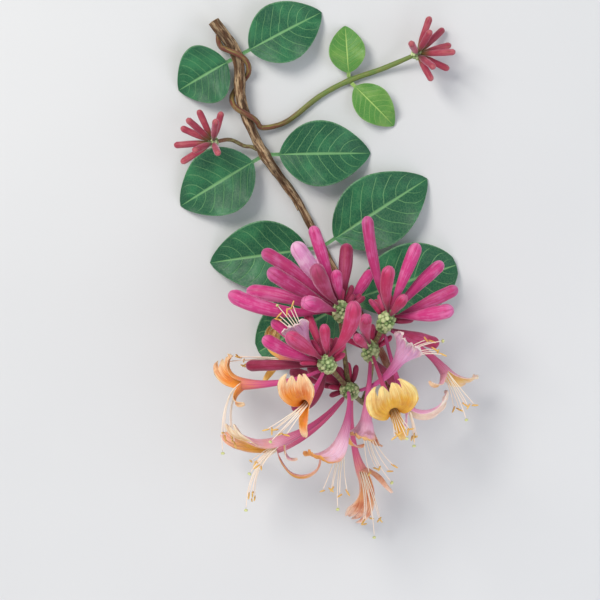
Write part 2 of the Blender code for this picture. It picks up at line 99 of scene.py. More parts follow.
class BudTone(Enum):
    """Colours of a bud: its club, its paler streaks and tip, and its darker neck, which the bud look also
    lays into the seams of its lobes as painted shade.
    """

    MAGENTA = ((200, 50, 124), (222, 132, 182), (132, 28, 66))
    DEEP = ((178, 44, 106), (200, 108, 162), (116, 26, 60))
    ROSE = ((182, 42, 88), (206, 96, 146), (112, 26, 48))
    WINE = ((154, 36, 78), (184, 88, 132), (100, 24, 44))
    LAVENDER = ((212, 138, 184), (238, 204, 224), (176, 66, 116))
    MAROON = ((142, 32, 68), (172, 66, 106), (88, 22, 40))
    YOUNG = ((158, 52, 74), (190, 104, 110), (112, 104, 48))


class Bud(NamedTuple):
    """An unopened flower: its whorl, tier, tip, girth in millimetres, bow and colours."""

    whorl: str
    tier: float
    tip: Place
    girth: float
    bow: tuple[float, float] = (0.0, 0.0)
    tone: BudTone = BudTone.MAGENTA


class Lip(NamedTuple):
    """A lip: length and width in millimetres, its lean from the tube and its further turn."""

    length: float
    width: float
    lean: float
    turn: float


class Age(Enum):
    """Colours of an open flower as it ages: tube, outside, inside, lobe tips, blotches, and their share."""

    FRESH = ((194, 78, 134), (228, 182, 212), (246, 230, 214), (252, 244, 228), (220, 150, 90), 0.1)
    BLUSH = ((204, 92, 154), (228, 180, 216), (244, 226, 240), (250, 240, 232), (216, 150, 160), 0.1)
    CREAM = ((188, 76, 124), (228, 178, 192), (240, 202, 120), (250, 238, 206), (218, 150, 66), 0.3)
    GOLD = ((190, 74, 120), (240, 196, 84), (236, 188, 60), (252, 236, 160), (212, 140, 40), 0.3)
    ORANGE = ((200, 74, 136), (242, 172, 74), (238, 152, 44), (252, 234, 184), (210, 100, 34), 0.35)
    AMBER = ((190, 76, 122), (228, 172, 170), (234, 178, 70), (244, 196, 172), (206, 120, 40), 0.3)
    FAN = ((198, 88, 144), (240, 206, 224), (240, 190, 106), (232, 168, 62), (200, 100, 48), 0.3)
    BELL = ((200, 88, 142), (234, 192, 214), (204, 96, 38), (240, 196, 120), (150, 56, 22), 0.5)
    PEACH = ((206, 96, 140), (238, 190, 152), (240, 180, 122), (250, 228, 204), (204, 100, 46), 0.55)


class Flower(NamedTuple):
    """An open flower: a tube by way of one place to its mouth, and the side its upper lip is on."""

    whorl: str
    tier: float
    via: Place
    mouth: Place
    back: Place
    upper: Lip
    lower: Lip
    stamens: Place
    age: Age


class LeafSpot(NamedTuple):
    """A leaf: its node on the stem, its tip, and in millimetres width, rise and stem radius."""

    node: Place
    tip: Place
    width: float
    rise: float
    stem: float
    young: bool = False


# What grows where, as in the solid model
WHORLS = {
    "a": Whorl((341, 312, 34), (-0.10, 0.80, 0.60)),
    "b": Whorl((386, 322, 30), (0.35, 0.75, 0.55)),
    "c": Whorl((327, 364, 41), (-0.25, 0.40, 0.88)),
    "d": Whorl((350, 391, 25), (-0.35, 0.20, 0.90)),
    "e": Whorl((371, 352, 22), (0.00, 0.70, 0.70)),
}

BUDS = {
    "bud_a1": Bud("a", 0, (312, 226, 36), 5),
    "bud_a2": Bud("a", 1, (294, 243, 50.1), 6.8, (0.02, 0.05), BudTone.LAVENDER),
    "bud_a3": Bud("a", 0, (262, 251, 30), 5.6, (-0.04, 0.04), BudTone.DEEP),
    "bud_a4": Bud("a", 0.2, (268.2, 269.7, 45.5), 6.2, (0.02, 0.03), BudTone.DEEP),
    "bud_a5": Bud("a", 0.15, (228.8, 292.9, 37.9), 6.2, (0.09, 0.07)),
    "bud_a6": Bud("a", -1, (246, 291, 22), 6, (-0.05, 0)),
    "bud_a8": Bud("a", 0.49, (315.4, 265.9, 61.9), 6.4, (0.04, 0.04), BudTone.WINE),
    "bud_a10": Bud("a", -1, (347, 243, 25), 5.6, (0, 0), BudTone.WINE),
    "bud_a11": Bud("a", 0, (304, 302, 58), 6.2),
    "bud_b1": Bud("b", 1, (367, 216, 36), 4.8, (0.03, 0), BudTone.DEEP),
    "bud_b2": Bud("b", 1, (389, 267, 52), 5.4, (0.05, 0.05), BudTone.ROSE),
    "bud_b3": Bud("b", 0, (418, 243, 31), 5.4),
    "bud_b4": Bud("b", 0, (444, 262, 22), 5.2, (0.03, 0)),
    "bud_b5": Bud("b", 0, (458, 288, 33), 5.2, (0, 0), BudTone.DEEP),
    "bud_b6": Bud("b", 1, (452, 309, 46), 6, (-0.04, 0)),
    "bud_c1": Bud("c", -1, (272, 320, 34), 4.6),
    "bud_c2": Bud("c", 1, (287, 333, 58), 6.2, (0, 0.06), BudTone.ROSE),
    "bud_c3": Bud("c", -0.18, (263, 337, 46), 5.4, (0.05, 0)),
    "bud_c6": Bud("c", 1, (352.5, 301.6, 61.3), 6.4, (-0.1, 0), BudTone.ROSE),
    "bud_c8": Bud("c", -1, (292, 409, 24), 6, (0.14, 0), BudTone.MAROON),
    "bud_e1": Bud("e", 0.94, (366.4, 316.9, 46.6), 5, (0.05, -0.03), BudTone.ROSE),
    "bud_a7": Bud("a", -0.61, (318, 257.8, 20.4), 4.6, (0, 0.04), BudTone.LAVENDER),
    "bud_a9": Bud("a", 0, (336, 270, 40.7), 4.6),
    "bud_c5": Bud("c", -0.13, (303.1, 304.1, 33), 3.6, (-0.01, -0.02), BudTone.ROSE),
    "bud_c7": Bud("c", -1, (323.9, 324.5, 53.9), 4.2, (0.01, 0.01), BudTone.ROSE),
    "bud_a14": Bud("a", -1, (372, 270, 22), 4.6),
    "bud_d1": Bud("d", -1, (308.1, 366.1, 30.1), 6.4, (0, 0), BudTone.MAROON),
    "bud_b7": Bud("b", -1, (440, 345, 11.6), 5.2, (0, 0), BudTone.ROSE),
    "bud_c4": Bud("c", -0.46, (246.2, 366, 23.2), 4.6, (-0.01, 0.04), BudTone.MAROON),
    "bud_d2": Bud("d", -0.07, (290, 372.1, 8.4), 4.6, (0, 0), BudTone.MAROON),
    "bud_e2": Bud("e", -1, (404, 392, 4), 4.6, (0, 0), BudTone.MAROON),
    "bud_e3": Bud("e", 0, (356, 336, 40), 4, (0, 0), BudTone.ROSE),
    "bud_b8": Bud("b", 0, (404, 296, 46), 4.4, (0, 0), BudTone.ROSE),
}

FLOWERS = {
    "flower_left": Flower(
        "c", -1, (284, 386, 42), (244, 384, 34), (-0.2, 0.6, -0.78),
        Lip(21, 11, 8, 70), Lip(15, 3.8, 30, 170), (227, 447, 30), Age.ORANGE,
    ),
    "flower_front": Flower(
        "c", 0, (314, 392, 44), (304, 403, 56), (-0.1, 0.94, 0.3),
        Lip(16, 15, 25, 85), Lip(14, 4, 20, 100), (272, 434, 58), Age.ORANGE,
    ),
    "flower_long": Flower(
        "d", 0, (316, 428, 37), (284, 440, 37), (-0.1, 0.9, 0.4),
        Lip(24, 10, 0, 75), Lip(12, 3.6, 20, 160), (252, 468, 38), Age.CREAM,
    ),
    "flower_hook": Flower(
        "d", 0, (314, 440, 22), (276, 449, 22), (-0.1, 0.95, -0.3),
        Lip(23, 9, 0, 55), Lip(27, 4.4, 70, 190), (248, 505, 22), Age.AMBER,
    ),
    "flower_fan": Flower(
        "d", 1, (351.7, 405, 43.9), (343.4, 434.6, 43.9), (-0.75, 0, 0.66),
        Lip(19, 15, 5, 105), Lip(13, 3.8, 20, 110), (334, 500, 38), Age.FAN,
    ),
    "flower_bell": Flower(
        "e", -1, (369.4, 384.7, 36.3), (366, 420, 33.5), (-0.45, 0.1, 0.88),
        Lip(10, 15, 13, 99), Lip(22, 4.6, 15, 60), (386, 478, 25.5), Age.BELL,
    ),
    "flower_peach": Flower(
        "d", -1, (350, 444, 17), (362, 472, 17), (-0.72, 0, -0.68),
        Lip(26, 10, 0, 95), Lip(18, 3.4, 45, -30), (374, 532, 15), Age.PEACH,
    ),
    "flower_wide": Flower(
        "d", -1, (382.1, 386.1, 30.6), (398.9, 360.2, 36.8), (0, 0.3, 0.95),
        Lip(15, 14, 0, 45), Lip(15, 4, 20, 150), (440, 345, 32.9), Age.BLUSH,
    ),
    "flower_gold": Flower(
        "e", 0.59, (386, 396, 40), (393, 411, 54), (-0.3, 0.9, 0.3),
        Lip(19, 21, 25, 80), Lip(13, 4.2, 20, 110), (402.2, 434.2, 58.7), Age.GOLD,
    ),
    "flower_pale": Flower(
        "b", -1, (398, 388, 24), (411, 412, 28), (0.85, 0.45, -0.3),
        Lip(17, 10, 50, 100), Lip(13, 4, 10, 60), (415, 442, 30), Age.FRESH,
    ),
    "flower_right": Flower(
        "b", -1, (428, 348, 26), (446, 372, 24), (0.7, -0.1, -0.65),
        Lip(16, 10, 5, 80), Lip(14, 3.8, 20, 160), (468, 414, 22), Age.CREAM,
    ),
    "flower_blush": Flower(
        "c", 0, (312, 352, 44), (304, 339, 46), (-0.2, 0, 0.97),
        Lip(11, 12, 0, 45), Lip(9, 3.4, 20, 120), (282, 308, 44), Age.BLUSH,
    ),
    "flower_cream": Flower(
        "c", -1, (302, 362.4, 31.5), (282.8, 359.7, 24.7), (-0.1, 0.8, -0.58),
        Lip(16, 11, 10, 80), Lip(14, 3.8, 19, 90), (234, 361.6, 17.5), Age.GOLD,
    ),
}

# Pleats in millimetres and turns of the broad lip in degrees, of the flowers that have more of either
RUFFLES = {"flower_gold": 0.55, "flower_front": 0.42, "flower_wide": 0.34}
TWISTS = {"flower_left": 72, "flower_peach": 60, "flower_long": 36, "flower_hook": 30}

VINE_PATH = (
    (212, 16, 5.2), (236, 52, 5.2), (241, 100, 5.2), (264, 152, 4.6), (298, 200, 2.8),
    (322, 246, 1.8), (350, 296, 1.55), (374, 336, 1.55), (390, 372, 2.2), (384, 400, 5.5), (366, 404, 10.0),
)
# The shoot winds round the vine between two shares of its length, by turns that begin at a phase
TWINE_START = 0.03
TWINE_END = 0.27
TWINE_TURNS = 1.75
TWINE_PHASE = -0.375 * math.pi
SHOOT_PATH = ((286, 118, 1.6), (320, 92, 1.3), (350, 76, 1.3), (384, 64, 2.2), (413.6, 52, 6.2))
SHOOT_END = (418.4, 50.1, 7.4)

FIRST_NODE, SECOND_NODE, THIRD_NODE = VINE_PATH[1], VINE_PATH[3], VINE_PATH[5]
SHOOT_NODE = SHOOT_PATH[2]
LEAVES = {
    "leaf_1": LeafSpot(FIRST_NODE, (176, 86, 0.25), 25, 3.0, 2.35),
    "leaf_2": LeafSpot(FIRST_NODE, (322, 6, 0.25), 25, 3.0, 2.35),
    "leaf_3": LeafSpot(SECOND_NODE, (178, 204, 0.25), 28, 4.0, 2.05),
    "leaf_4": LeafSpot(SECOND_NODE, (372, 150, 0.25), 27, 4.0, 2.2),
    "leaf_5": LeafSpot(THIRD_NODE, (208, 262, 0.25), 28, 4.0, 1.7),
    "leaf_6": LeafSpot(THIRD_NODE, (430, 176, 0.25), 30, 4.0, 1.7),
    "leaf_7": LeafSpot(SHOOT_NODE, (396, 122, 0.25), 15, 3.0, 1.1, True),
    "leaf_8": LeafSpot(SHOOT_NODE, (346, 20, 0.25), 15, 3.0, 1.1, True),
}
COLLAR = (352, 300, 3.65)
COLLAR_LEFT = (252, 356, 0.25)
COLLAR_RIGHT = (466, 262, 0.25)
COLLAR_WIDTH = 30

YOUNG_CLUSTERS = {
    "young_cluster_right": Whorl((419, 50, 7.6), (0.75, 0.25, 0.6)),
    "young_cluster_left": Whorl((212, 140, 12.0), (-0.65, 0.25, 0.7)),
}
# Branches from end to end, with their bow in millimetres
STALKS = (
    ((364.9, 404.3, 10.5), "d", (0, -1, -1)),
    ((363.9, 403, 11.7), "e", (3, 0, 0)),
    ("d", "c", (0, 0, 0)),
    ("d", "a", (-1, 0, -4)),
    ("e", "b", (0, 0, 0)),
)
YOUNG_STALK = ((258, 147.5, 4.8), (250.6, 144, 5.0), (243, 143, 5.2), (229, 137, 7.0), (214, 139.5, 11.2))


def at(place: Place) -> Array:
    """The point in metres of a place (u, v, height)."""
    u, v, height = place
    return np.array([(u - MIDDLE_U) * PIXEL, (MIDDLE_V - v) * PIXEL, height * MM])


def unit(vectors: Any) -> Array:
    """The vectors at length 1, along their last axis."""
    vectors = np.asarray(vectors, float)
    return vectors / np.linalg.norm(vectors, axis=-1, keepdims=True)


def ease(values: Array, low: float, high: float) -> Array:
    """Rises smoothly from 0 at low to 1 at high: 3 t squared less 2 t cubed."""
    t = np.clip((np.asarray(values, float) - low) / (high - low), 0, 1)
    return t * t * (3 - 2 * t)


def quadratic(start: Array, via: Array, end: Array, shares: Array) -> Array:
    """Points of a quadratic curve: (1 - t)^2 start + 2 t (1 - t) via + t^2 end."""
    t = np.asarray(shares, float)[:, None]
    return (1 - t) ** 2 * start + 2 * t * (1 - t) * via + t**2 * end


def read_off(where: Array, known: Array, rows: Array) -> Array:
    """Rows of three at new places, each read off between the two nearest known ones."""
    return np.stack([np.interp(where, known, rows[:, i]) for i in range(3)], axis=-1)


def smooth_path(points: Any, count: int) -> Array:
    """Evenly spread points of the smooth curve through all the given ones.

    Between two places the curve is the cubic whose slope at each is half the step from the place
    before it to the place after it.

    Args:
        points: The places that the curve passes through, in metres.
        count: How many points to give.

    Returns:
        An array of count points.
    """
    points = np.asarray(points, float)
    ends = np.vstack([2 * points[0] - points[1], points, 2 * points[-1] - points[-2]])
    t = np.linspace(0, len(points) - 1, 24 * len(points))
    k = np.minimum(t.astype(int), len(points) - 2)
    f = (t - k)[:, None]
    a, b, c, d = (ends[k + i] for i in range(4))
    fine = 0.5 * (2 * b + (c - a) * f + (2 * a - 5 * b + 4 * c - d) * f**2 + (3 * b - a - 3 * c + d) * f**3)
    run = np.concatenate([[0], np.cumsum(np.linalg.norm(np.diff(fine, axis=0), axis=1))])
    return read_off(np.linspace(0, run[-1], count), run, fine)


def line_through(places: tuple[Place, ...], count: int) -> Array:
    """Evenly spread points of the smooth curve through places of the photograph."""
    return smooth_path([at(place) for place in places], count)


def tangents(points: Array) -> Array:
    """Unit directions along a run of points."""
    return unit(np.gradient(points, axis=0))


def cross_frame(points: Array, reference: Any) -> tuple[Array, Array]:
    """Two directions at each point, square to a path and to each other.

    Args:
        points: The path, rows of three.
        reference: A direction that the path never takes; the first result is square to it too.

    Returns:
        The direction across and the direction above.
    """
    ways = tangents(points)
    across = unit(np.cross(ways, reference))
    return across, np.cross(across, ways)


def hump(points: Array, centre: Array, width: float) -> Array:
    """A smooth hump round a centre: exp(-(d / width)^2), where d is a point's distance from it."""
    return np.exp(-((np.linalg.norm(points - centre, axis=1) / width) ** 2))


def around(sides: int) -> Array:
    """Shares round a closed profile, as a row whose last one meets the first."""
    return np.linspace(0, 1, sides + 1)[None]


def tip_spacing(count: int) -> Array:
    """Shares from 0 to 1 that crowd towards 1, where a rounded tip turns fastest."""
    t = np.linspace(0, 1, count)
    return 0.25 * t + 0.75 * np.sin(t * math.pi / 2)


def golden_ball(heights: Array) -> Array:
    """Unit directions of falling heights h, each a golden angle a on from the last: (r cos a, r sin a, h).

    Args:
        heights: The heights, from -1 to 1.

    Returns:
        Rows of three, one for each height.
    """
    turn = GOLDEN_TURN * np.arange(len(heights))
    flat = np.sqrt(1 - heights**2)
    return np.stack([flat * np.cos(turn), flat * np.sin(turn), heights], axis=1)


def knob_frame(whorl: Whorl) -> tuple[Array, Array]:
    """Where a knob is and how it is turned.

    Args:
        whorl: The knob.

    Returns:
        Its centre, and three unit directions as rows, of which the last is its axis.
    """
    axis = unit(whorl.axis)
    side = unit(np.cross(axis, [0.3, 1, 0.2]))
    return at(whorl.centre), np.stack([side, np.cross(side, axis), axis])


def carried_ring(points: Array, radii: Array, sides: int, reference: Any) -> Array:
    """A round profile carried along a path: point + radius (cos a across + sin a above).

    Args:
        points: The path, rows of three.
        radii: One radius for each row, or one for each row and column.
        sides: Columns round the path; the last one repeats the first.
        reference: A direction that the path never takes, which fixes where a is 0.

    Returns:
        A grid of rows by sides + 1 points.
    """
    across, above = cross_frame(points, reference)
    turn = 2 * math.pi * around(sides)[..., None]
    ring = np.cos(turn) * across[:, None] + np.sin(turn) * above[:, None]
    radii = radii if radii.ndim == 2 else radii[:, None]
    return points[:, None] + np.broadcast_to(radii, ring.shape[:2])[..., None] * ring


def knob_surface(whorl: Whorl, tier: float, target: Array) -> Array:
    """Where the line from a knob's tier to a target leaves the knob's ellipsoid, with a gap added.

    Args:
        whorl: The knob.
        tier: How many tiers above the knob's middle the line starts.
        target: The point that it goes to.

    Returns:
        The point.
    """
    centre, axis = at(whorl.centre), unit(whorl.axis)
    start = tier * TIER * axis
    way = unit(target - centre - start)

    def squeezed(vector: Array) -> Array:
        """The vector in a space where the knob is a unit ball."""
        along = vector @ axis
        return (vector - along * axis) / KNOB_RADIUS + along * axis / KNOB_HALF

    p, d = squeezed(start), squeezed(way)
    reach = (-(p @ d) + math.sqrt((p @ d) ** 2 - (d @ d) * (p @ p - 1))) / (d @ d)
    return centre + start + (reach + GAP) * way


def bud_radii(t: Array, length: float, girth: float) -> Array:
    """Radius along a bud: a thin neck that swells to a club with an elliptic tip.

    Args:
        t: Shares of its length.
        length: Its length in metres.
        girth: The club's width in metres.

    Returns:
        One radius for each share.
    """
    swell = ease(t, 0.12, 0.72)
    neck = BUD_FOOT + (BUD_NECK - BUD_FOOT) * np.minimum(t / 0.3, 1)
    club = neck + (girth / 2 - neck) * swell
    left = np.clip((1 - t) * length / (girth * 0.62), 0, 1)
    return club * np.sqrt(np.clip(1 - (1 - left) ** 2, 0, 1))


class Skin:
    """Gathers grids of points as patches of a surface, and welds them into one mesh."""

    def __init__(self) -> None:
        """Starts with no patch."""
        self.places: list[Array] = []
        self.maps: list[Array] = []
        self.inner: list[Array] = []
        self.tints: list[Array] = []
        self.quads: list[Array] = []
        self.slots: list[Array] = []
        self.size = 0

    def add(
        self, grid: Array, runs: Any, spans: Any, inner: float = 0.0, tint: Any = 0.0, slot: int = 0
    ) -> None:
        """Adds one patch, or a stack of patches of one shape.

        Args:
            grid: Points as rows by columns by three, or a stack of such grids.
            runs: The pattern's lengthwise coordinate, spread over rows and columns.
            spans: The pattern's crosswise coordinate, spread over rows and columns.
            inner: 1 on a face that looks into the flower or lies under a leaf.
            tint: A value from 0 to 1, spread over patches, rows and columns: a bead's own tone, a lip's
                distance from its middle, and a bud's seam depth, where the bud look paints shade.
            slot: Which of the piece's materials the patch takes.
        """
        grids = grid.reshape(-1, *grid.shape[-3:])
        count, rows, columns = grids.shape[:3]
        index = np.arange(rows * columns).reshape(rows, columns)
        corners = [index[:-1, :-1], index[:-1, 1:], index[1:, 1:], index[1:, :-1]]
        quad = np.stack(corners, axis=-1).reshape(-1, 4)
        first = self.size + np.arange(count) * rows * columns
        self.quads.append((quad[None] + first[:, None, None]).reshape(-1, 4))
        self.places.append(grids.reshape(-1, 3))
        shape = (count, rows, columns)
        plan = np.stack([np.broadcast_to(spans, shape), np.broadcast_to(runs, shape)], axis=-1)
        self.maps.append(plan.reshape(-1, 2))
        self.inner.append(np.full(count * rows * columns, inner))
        self.tints.append(np.broadcast_to(tint, shape).ravel())
        self.slots.append(np.full(count * len(quad), slot))
        self.size += count * rows * columns

    def add_rod(self, line: Array, radii: Array, sides: int, reference: Any, runs: Any = None) -> None:
        """Adds a round rod with closed ends, no part of it under the floor.

        Args:
            line: Its middle line.
            radii: One radius for each point of it, or one for each point and column.
            sides: Columns round it.
            reference: A direction that it never takes.
            runs: The pattern's lengthwise coordinate, or none for the share along the rod.
        """
        radii[[0, -1]] = 0
        grid = carried_ring(line, radii, sides, reference)
        grid[..., 2] = np.maximum(grid[..., 2], 0.0)
        runs = np.linspace(0, 1, len(line)) if runs is None else runs
        self.add(grid, runs[:, None], around(sides), tint=0.5)

    def add_wall(self, outer: Array, inner: Array, run: float) -> None:
        """Adds the narrow strip between two matching edges, so that a wall ends closed."""
        self.add(np.stack([outer, inner], axis=1), run, 0.5, 0.5, 0.5)

    def add_slab(self, top: Array, low: Array, runs: Array, spans: Array, edge_run: float) -> None:
        """Adds both faces of a thin piece and the walls round its margin.

        Args:
            top: The upper grid.
            low: The lower grid.
            runs: The pattern's lengthwise coordinate.
            spans: The pattern's crosswise coordinate.
            edge_run: The lengthwise coordinate of the walls.
        """
        self.add(top, runs[:, None], spans)
        self.add(low, runs[:, None], spans, 1.0)
        for edge in (np.s_[:, 0], np.s_[:, -1], np.s_[0], np.s_[-1]):
            self.add_wall(top[edge], low[edge], edge_run)

    def make(self, name: str) -> bpy.types.Mesh:
        """Welds the patches where they meet and turns their faces outwards.

        Args:
            name: The mesh's name.

        Returns:
            The mesh, with the map "plan" and the values "inner" and "tint".
        """
        places, quads = np.concatenate(self.places), np.concatenate(self.quads)
        corners = quads.ravel()
        mesh = bpy.data.meshes.new(name)
        mesh.vertices.add(len(places))
        mesh.vertices.foreach_set("co", places.ravel())
        mesh.loops.add(len(corners))
        mesh.loops.foreach_set("vertex_index", corners)
        mesh.polygons.add(len(quads))
        mesh.polygons.foreach_set("loop_start", np.arange(0, len(corners), 4))
        mesh.polygons.foreach_set("material_index", np.concatenate(self.slots))
        mesh.update(calc_edges=True)
        plan = mesh.uv_layers.new(name="plan")
        plan.uv.foreach_set("vector", np.concatenate(self.maps)[corners].ravel())
        for title, values in (("inner", self.inner), ("tint", self.tints)):
            note = mesh.attributes.new(title, "FLOAT", "POINT")
            note.data.foreach_set("value", np.concatenate(values))
        welded = bmesh.new()
        welded.from_mesh(mesh)
        bmesh.ops.remove_doubles(welded, verts=welded.verts, dist=1e-6)
        bmesh.ops.recalc_face_normals(welded, faces=welded.faces)
        welded.to_mesh(mesh)
        welded.free()
        mesh.shade_smooth()
        return mesh


class Graph:
    """Adds nodes to one node tree and links them."""

    def __init__(self, tree: bpy.types.NodeTree) -> None:
        """Works on the given tree."""
        self.tree = tree

    def add(self, kind: str, **settings: Any) -> bpy.types.Node:
        """A new node.

        Args:
            kind: Its kind.
            settings: What its own settings are set to.

        Returns:
            The node.
        """
        node = self.tree.nodes.new(kind)
        for key, value in settings.items():
            setattr(node, key, value)
        return node

    def feed(self, socket: Socket, value: Any) -> None:
        """Links a socket's value to an input, or sets a plain value on it."""
        if isinstance(value, Socket):
            self.tree.links.new(value, socket)
        else:
            socket.default_value = value

    def work_out(self, operation: str, first: Any, second: Any = 0.0) -> Socket:
        """The result of a Math operation.

        Args:
            operation: Its name.
            first: A number or a socket.
            second: Another, for an operation on two.

        Returns:
            The socket of the result.
        """
        node = self.add("ShaderNodeMath", operation=operation)
        self.feed(node.inputs[0], first)
        self.feed(node.inputs[1], second)
        return node.outputs[0]

    def plus(self, first: Any, second: Any) -> Socket:
        """The first value and the second together."""
        return self.work_out("ADD", first, second)

    def minus(self, first: Any, second: Any) -> Socket:
        """The first value less the second."""
        return self.work_out("SUBTRACT", first, second)

    def times(self, first: Any, second: Any) -> Socket:
        """The first value times the second."""
        return self.work_out("MULTIPLY", first, second)

    def rise(self, value: Any, low: float, high: float, start: float = 0.0, end: float = 1.0) -> Socket:
        """A smooth rise, or a fall.

        Args:
            value: What it follows.
            low: Where it starts.
            high: Where it ends.
            start: The result up to low.
            end: The result from high.

        Returns:
            The socket of the result.
        """
        node = self.add("ShaderNodeMapRange", interpolation_type="SMOOTHSTEP")
        for i, number in enumerate((value, low, high, start, end)):
            self.feed(node.inputs[i], number)
        return node.outputs[0]

    def blend(self, share: Any, first: Any, second: Any, mode: str = "MIX") -> Socket:
        """The second colour over the first.

        Args:
            share: How much of the second shows, from 0 to 1.
            first: The colour below.
            second: The colour above.
            mode: How they are laid over each other.

        Returns:
            The socket of the mixed colour.
        """
        node = self.add("ShaderNodeMix", data_type="RGBA", blend_type=mode, clamp_factor=True)
        for i, value in ((0, share), (6, first), (7, second)):
            self.feed(node.inputs[i], value)
        return node.outputs[2]

    def texture(self, kind: str, stretch: Stretch, values: dict[str, float], **settings: Any) -> Any:
        """A texture over the object, or over the piece's own map where that is stretched.

        Args:
            kind: The texture's node.
            stretch: How often the pattern repeats across and along the map, or none for the object.
            values: What its inputs are set to.
            settings: Its settings.

        Returns:
            The node.
        """
        found = self.add("ShaderNodeTexCoord").outputs["UV" if stretch else "Object"]
        place = self.add("ShaderNodeMapping")
        self.feed(place.inputs["Vector"], found)
        self.feed(place.inputs["Scale"], (*stretch, 1.0) if stretch else (1.0, 1.0, 1.0))
        node = self.add(kind, **settings)
        self.feed(node.inputs["Vector"], place.outputs[0])
        for title, value in values.items():
            self.feed(node.inputs[title], value)
        return node

    def noise(self, scale: float, detail: float, rough: float = 0.55, stretch: Stretch = None) -> Socket:
        """Soft noise from 0 to 1 of a scale, detail and roughness."""
        values = {"Scale": scale, "Detail": detail, "Roughness": rough}
        return self.texture("ShaderNodeTexNoise", stretch, values).outputs[0]

    def cells(self, stretch: Stretch, feature: str = "F1") -> Socket:
        """Distance inside a pattern of cells over the piece's own map."""
        node = self.texture("ShaderNodeTexVoronoi", stretch, {"Scale": 1.0}, feature=feature)
        return node.outputs["Distance"]

    def plan(self) -> tuple[Socket, Socket]:
        """The piece's own map.

        Returns:
            Its crosswise and its lengthwise coordinate.
        """
        split = self.add("ShaderNodeSeparateXYZ")
        self.feed(split.inputs[0], self.add("ShaderNodeTexCoord").outputs["UV"])
        return split.outputs[0], split.outputs[1]

    def note(self, name: str) -> Socket:
        """A value that the mesh carries under a name."""
        return self.add("ShaderNodeAttribute", attribute_name=name).outputs["Fac"]


def shade(colour: Rgb) -> tuple[float, float, float, float]:
    """A colour as the linear light that a shader takes.

    Args:
        colour: Red, green and blue from 0 to 255.

    Returns:
        Red, green, blue and a full alpha.
    """
    share = np.asarray(colour, float) / 255
    linear = np.where(share <= 0.04045, share / 12.92, ((share + 0.055) / 1.055) ** 2.4)
    return (float(linear[0]), float(linear[1]), float(linear[2]), 1.0)


class SharedLook:
    """A node group, made once, that gives Colour, Roughness and Height from named inputs."""

    def __init__(self, name: str, colours: tuple[str, ...], values: tuple[str, ...] = ()) -> None:
        """Opens the group and its sockets.

        Args:
            name: The group's name.
            colours: The names of its colour inputs.
            values: The names of its number inputs.
        """
        self.tree = bpy.data.node_groups.new(name, "ShaderNodeTree")
        for title in colours:
            self.tree.interface.new_socket(name=title, in_out="INPUT", socket_type="NodeSocketColor")
        for title in values:
            self.tree.interface.new_socket(name=title, in_out="INPUT", socket_type="NodeSocketFloat")
        self.tree.interface.new_socket(name="Colour", in_out="OUTPUT", socket_type="NodeSocketColor")
        for title in ("Roughness", "Height"):
            self.tree.interface.new_socket(name=title, in_out="OUTPUT", socket_type="NodeSocketFloat")
        self.graph = Graph(self.tree)
        self.into = self.graph.add("NodeGroupInput").outputs
        self.out = self.graph.add("NodeGroupOutput").inputs

    def close(self, colour: Any, roughness: Any, height: Any) -> bpy.types.NodeTree:
        """Feeds the three outputs and gives the finished group."""
        for title, value in (("Colour", colour), ("Roughness", roughness), ("Height", height)):
            self.graph.feed(self.out[title], value)
        return self.tree


def petal_look() -> bpy.types.NodeTree:
    """Skin of a petal: pink tube, paler outside, warm inside, fine lengthwise nerves and blotches of age.

    Returns:
        The node group.
    """
    look = SharedLook("petal_look", ("Tube", "Outside", "Inside", "Tip", "Blotch"), ("Spots",))
    g, into = look.graph, look.into
    run = g.plan()[1]
    nerves = g.noise(2.2, 4, stretch=(26, 2.6))
    cloud = g.noise(160, 3)
    grain = g.noise(2600, 2)
    drift = g.plus(run, g.times(g.minus(nerves, 0.5), 0.30))
    outside = g.blend(g.rise(drift, 0.30, 0.68), into["Tube"], into["Outside"])
    edge = g.times(g.rise(g.note("tint"), 0.70, 1.0), g.rise(run, 0.58, 0.80, 0, 0.7))
    outside = g.blend(g.rise(drift, 0.78, 1.0, 0, 0.85), outside, into["Tip"])
    inside = g.blend(g.rise(drift, 0.74, 0.98), into["Inside"], into["Tip"])
    blush = g.blend(g.rise(g.plus(run, cloud), 1.16, 1.30, 0, 0.12), inside, into["Tube"])
    colour = g.blend(edge, g.blend(g.note("inner"), outside, blush), into["Tip"])
    spots = g.times(g.rise(cloud, 0.50, 0.66), g.rise(run, 0.46, 0.72))
    colour = g.blend(g.times(spots, into["Spots"]), colour, into["Blotch"])
    streak = g.blend(g.note("inner"), into["Tube"], into["Blotch"])
    colour = g.blend(g.rise(nerves, 0.35, 0.75, 0.30, 0), colour, g.blend(1.0, colour, streak, "MULTIPLY"))
    height = g.plus(g.times(nerves, 0.8), g.times(grain, 0.25))
    return look.close(colour, g.rise(grain, 0.3, 0.7, 0.42, 0.60), height)


